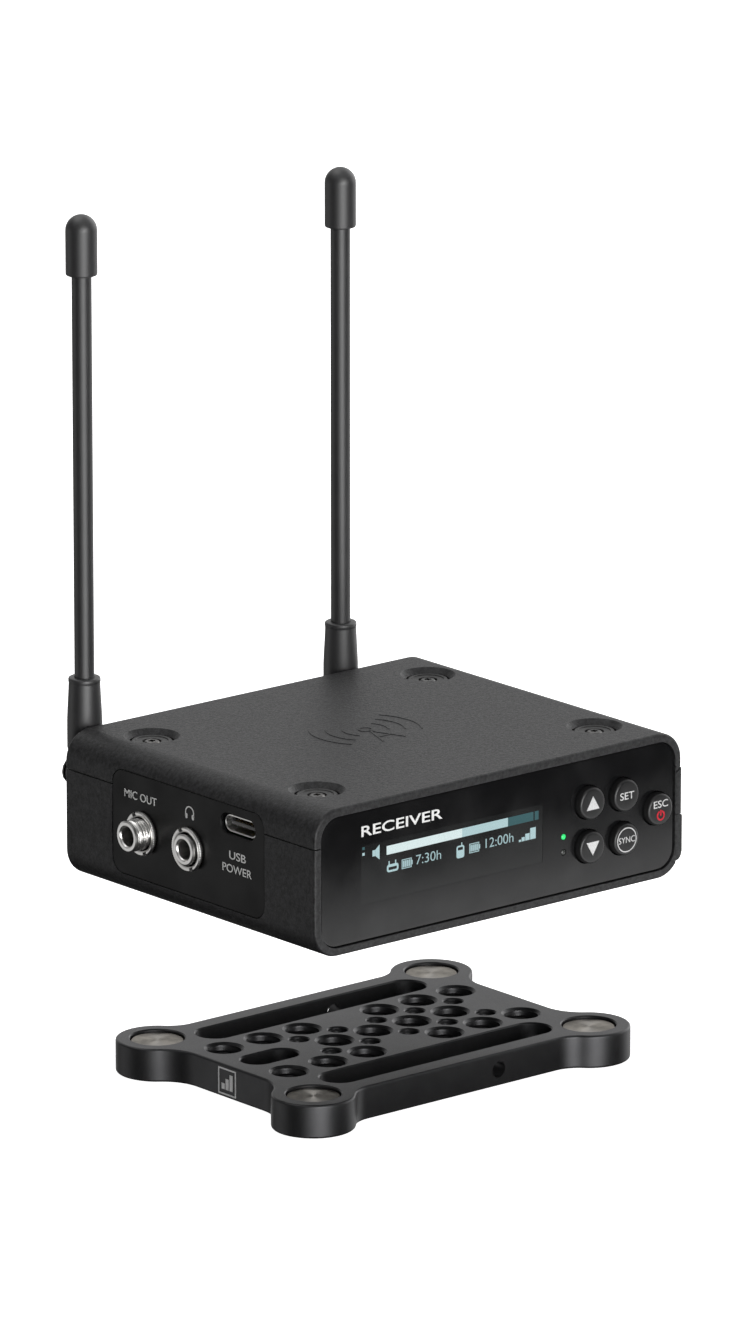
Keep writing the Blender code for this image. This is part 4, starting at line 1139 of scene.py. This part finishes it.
def build_antenna(body):
    """Boot that turns on the fixed hub, rod and domed cap."""
    hub = middle(body + "_hub")
    x, y, pivot = hub.x, middle(body + "_rod").y, hub.z
    boot_top = local_box(body + "_boot")[1].z
    cap_low, cap_high = (corner.z for corner in local_box(body + "_cap"))
    collar = [(0, pivot + 1), (2.85, pivot + 1), (2.85, pivot + 4.2), (3.05, pivot + 4.5), (3.2, pivot + 5.1),
              (3.2, 27.0), (3.12, 29.0), (2.98, 31.5), (2.86, 34.05), (2.86, 34.2), (2.93, 34.35),
              (2.93, 34.8), (2.86, 35.0), (2.7, boot_top), (1.86, boot_top), (1.86, 33), (0, 33)]
    knuckle = ([(0, 36.1), (2.8, 36.1), (3.01, 36.19), (3.1, 36.4)] + arc(1.5, 40.2, 1.6, 0, 90, 6)
               + [(0, 41.8)])
    boot = cut(fuse(turned(collar, "Z", (x, y), 64), turned(knuckle, "Y", (x, pivot), 64)),
               cylinder(EYE_R, "Y", (x, pivot), 30, FAR))
    piece(body + "_collar", boot, "rubber", body, (body + "_boot",), smooth=40)
    rod = cylinder(ROD_R, "Z", (x, y), ROD_LOW, cap_low + 2, 56)
    piece(body + "_whip", rod, "rubber", body, (body + "_rod",))
    profile = [(0, cap_low + 2.5), (1.86, cap_low + 2.5), (1.86, cap_low + 0.25), (2.0, cap_low),
               (CAP_R - 0.35, cap_low), (CAP_R - 0.1, cap_low + 0.1), (CAP_R, cap_low + 0.35)]
    profile += arc(0, cap_high - CAP_R, CAP_R, 0, 82.5, 11) + [(0, cap_high)]
    piece(body + "_tip", turned(profile, "Z", (x, y), 64), "rubber", body, (body + "_cap",))


def build_antennas():
    build_antenna("antenna_left")
    build_antenna("antenna_right")


# ==== the frame's own inner parts
def finish_inner_nodes():
    """Better materials for the frame's own inner parts that stay visible."""
    table = {"key_board": "board", "main_board": "board", "rf_shield": "nickel", "battery_tray": "inner",
             "battery_contact_front": "nickel", "battery_contact_rear": "nickel", "door_hinge_pin": "nickel",
             "antenna_left_hub": "dark_steel", "antenna_right_hub": "dark_steel", "display_module": "inner"}
    table.update({"case_screw_" + c: "dark_steel" for c in CORNERS})
    for node, look in table.items():
        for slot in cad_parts[node].material_slots:
            slot.material = MATERIAL[look]


# ==== stage, lights and camera
CAMERA_OFFSET = Vector((-1202.09, -1425.37, 544.95))     # from the case's origin, millimetres
CAMERA_TURN, CAMERA_DOWN = 40.14, 15.17                  # degrees right of +Y, and below level
CAMERA_LENS = 292.07
FLOOR_GLOW = 1.0            # lifts the floor to the white of a lit table


def build_stage():
    bm = bmesh.new()
    bmesh.ops.create_grid(bm, x_segments=4, y_segments=4, size=6.0)
    mesh = bpy.data.meshes.new("floor")
    bm.to_mesh(mesh)
    bm.free()
    floor = bpy.data.objects.new("floor", mesh)
    scene.collection.objects.link(floor)
    floor.location.z = -0.0002
    material, tree, bsdf = shader("floor_pale", (0.9, 0.9, 0.9), 0.7)
    tree.links.new(spread(tree, noise(tree, 8, 2.0), 0.66, 0.74), bsdf.inputs["Roughness"])
    bsdf.inputs["Emission Color"].default_value = (1, 1, 1, 1)
    bsdf.inputs["Emission Strength"].default_value = FLOOR_GLOW
    mesh.materials.append(material)
    floor.visible_glossy = False
    floor.visible_diffuse = False


def direction(azimuth, elevation):
    """Unit vector at a compass angle from +Y towards +X, and a height angle."""
    a, e = math.radians(azimuth), math.radians(elevation)
    return Vector((math.sin(a) * math.cos(e), math.cos(a) * math.cos(e), math.sin(e)))


SURROUND = (
    # compass angle, height angle, full to this half angle, gone by this half angle, radiance
    ("overhead", 0, 90, 20, 65, 0.6),
    ("behind", 40, 16, 22, 60, 0.78),
    ("right", 92, 12, 14, 42, 1.6),
    ("camera side", 196, 4, 6, 30, 6.5),
    ("camera side, low", 220, -14, 6, 26, 1.7),
    ("left rear, low", -40, -14, 10, 32, 0.58),
)
AMBIENT = 0.012             # everywhere between the patches


def build_world():
    """Studio surround: soft round patches of light on a dim ground, behind a white backdrop."""
    world = bpy.data.worlds.new("studio")
    scene.world = world
    world.use_nodes = True
    tree = world.node_tree
    coordinates = tree.nodes.new("ShaderNodeTexCoord")
    total = None
    for _, azimuth, elevation, inner, outer, radiance in SURROUND:
        dot = tree.nodes.new("ShaderNodeVectorMath")
        dot.operation = "DOT_PRODUCT"
        dot.inputs[1].default_value = direction(azimuth, elevation)
        mapper = tree.nodes.new("ShaderNodeMapRange")
        mapper.interpolation_type = "SMOOTHSTEP"
        mapper.inputs["From Min"].default_value = math.cos(math.radians(outer))
        mapper.inputs["From Max"].default_value = math.cos(math.radians(inner))
        mapper.inputs["To Max"].default_value = radiance
        tree.links.new(coordinates.outputs["Generated"], dot.inputs[0])
        tree.links.new(dot.outputs["Value"], mapper.inputs["Value"])
        add = tree.nodes.new("ShaderNodeMath")
        add.operation = "ADD"
        add.inputs[1].default_value = AMBIENT
        tree.links.new(mapper.outputs["Result"], add.inputs[0])
        if total:
            tree.links.new(total, add.inputs[1])
        total = add.outputs[0]
    background = tree.nodes["Background"]
    background.inputs["Color"].default_value = (1, 1, 1, 1)
    tree.links.new(total, background.inputs["Strength"])
    backdrop = tree.nodes.new("ShaderNodeBackground")
    backdrop.inputs["Color"].default_value = (1, 1, 1, 1)
    path = tree.nodes.new("ShaderNodeLightPath")
    mix = tree.nodes.new("ShaderNodeMixShader")
    tree.links.new(path.outputs["Is Camera Ray"], mix.inputs["Fac"])
    tree.links.new(background.outputs["Background"], mix.inputs[1])
    tree.links.new(backdrop.outputs["Background"], mix.inputs[2])
    tree.links.new(mix.outputs["Shader"], tree.nodes["World Output"].inputs["Surface"])


def area_light(name, size, power):
    data = bpy.data.lights.new(name, "AREA")
    data.shape = "RECTANGLE"
    data.size, data.size_y = size
    data.energy = power
    obj = bpy.data.objects.new(name, data)
    scene.collection.objects.link(obj)
    return obj


def build_lights():
    """A soft box overhead for gentle shadows, and a low card before the front's lower edge."""
    overhead = area_light("overhead", (1.0, 1.0), 4)
    way = direction(-20, 70)
    overhead.location = CASE + Vector((0, 0, 20)) * MM + way * 1.6
    overhead.rotation_euler = (-way).to_track_quat("-Z", "Y").to_euler()
    card = area_light("front_card", (0.30, 0.09), 0.12)
    card.location = CASE + Vector((95, -100, 0)) * MM
    card.location.z = 0.002
    card.rotation_euler = (math.pi, 0, 0)


def build_camera():
    data = bpy.data.cameras.new("camera")
    data.lens = CAMERA_LENS
    data.sensor_width = 36
    data.clip_end = 50
    obj = bpy.data.objects.new("camera", data)
    scene.collection.objects.link(obj)
    obj.location = CASE + CAMERA_OFFSET * MM
    obj.rotation_euler = direction(CAMERA_TURN, -CAMERA_DOWN).to_track_quat("-Z", "Y").to_euler()
    scene.camera = obj
    scene.view_settings.view_transform = "Standard"


# ==== assembly
build_plate()
build_lower_shell()
build_upper_shell()
top_mark()
build_cups_and_feet()
build_front_panel()
build_display()
build_buttons()
build_io_panel()
build_jacks()
build_usb()
build_cells()
build_door()
build_antennas()
finish_inner_nodes()
build_stage()
build_world()
build_lights()
build_camera()
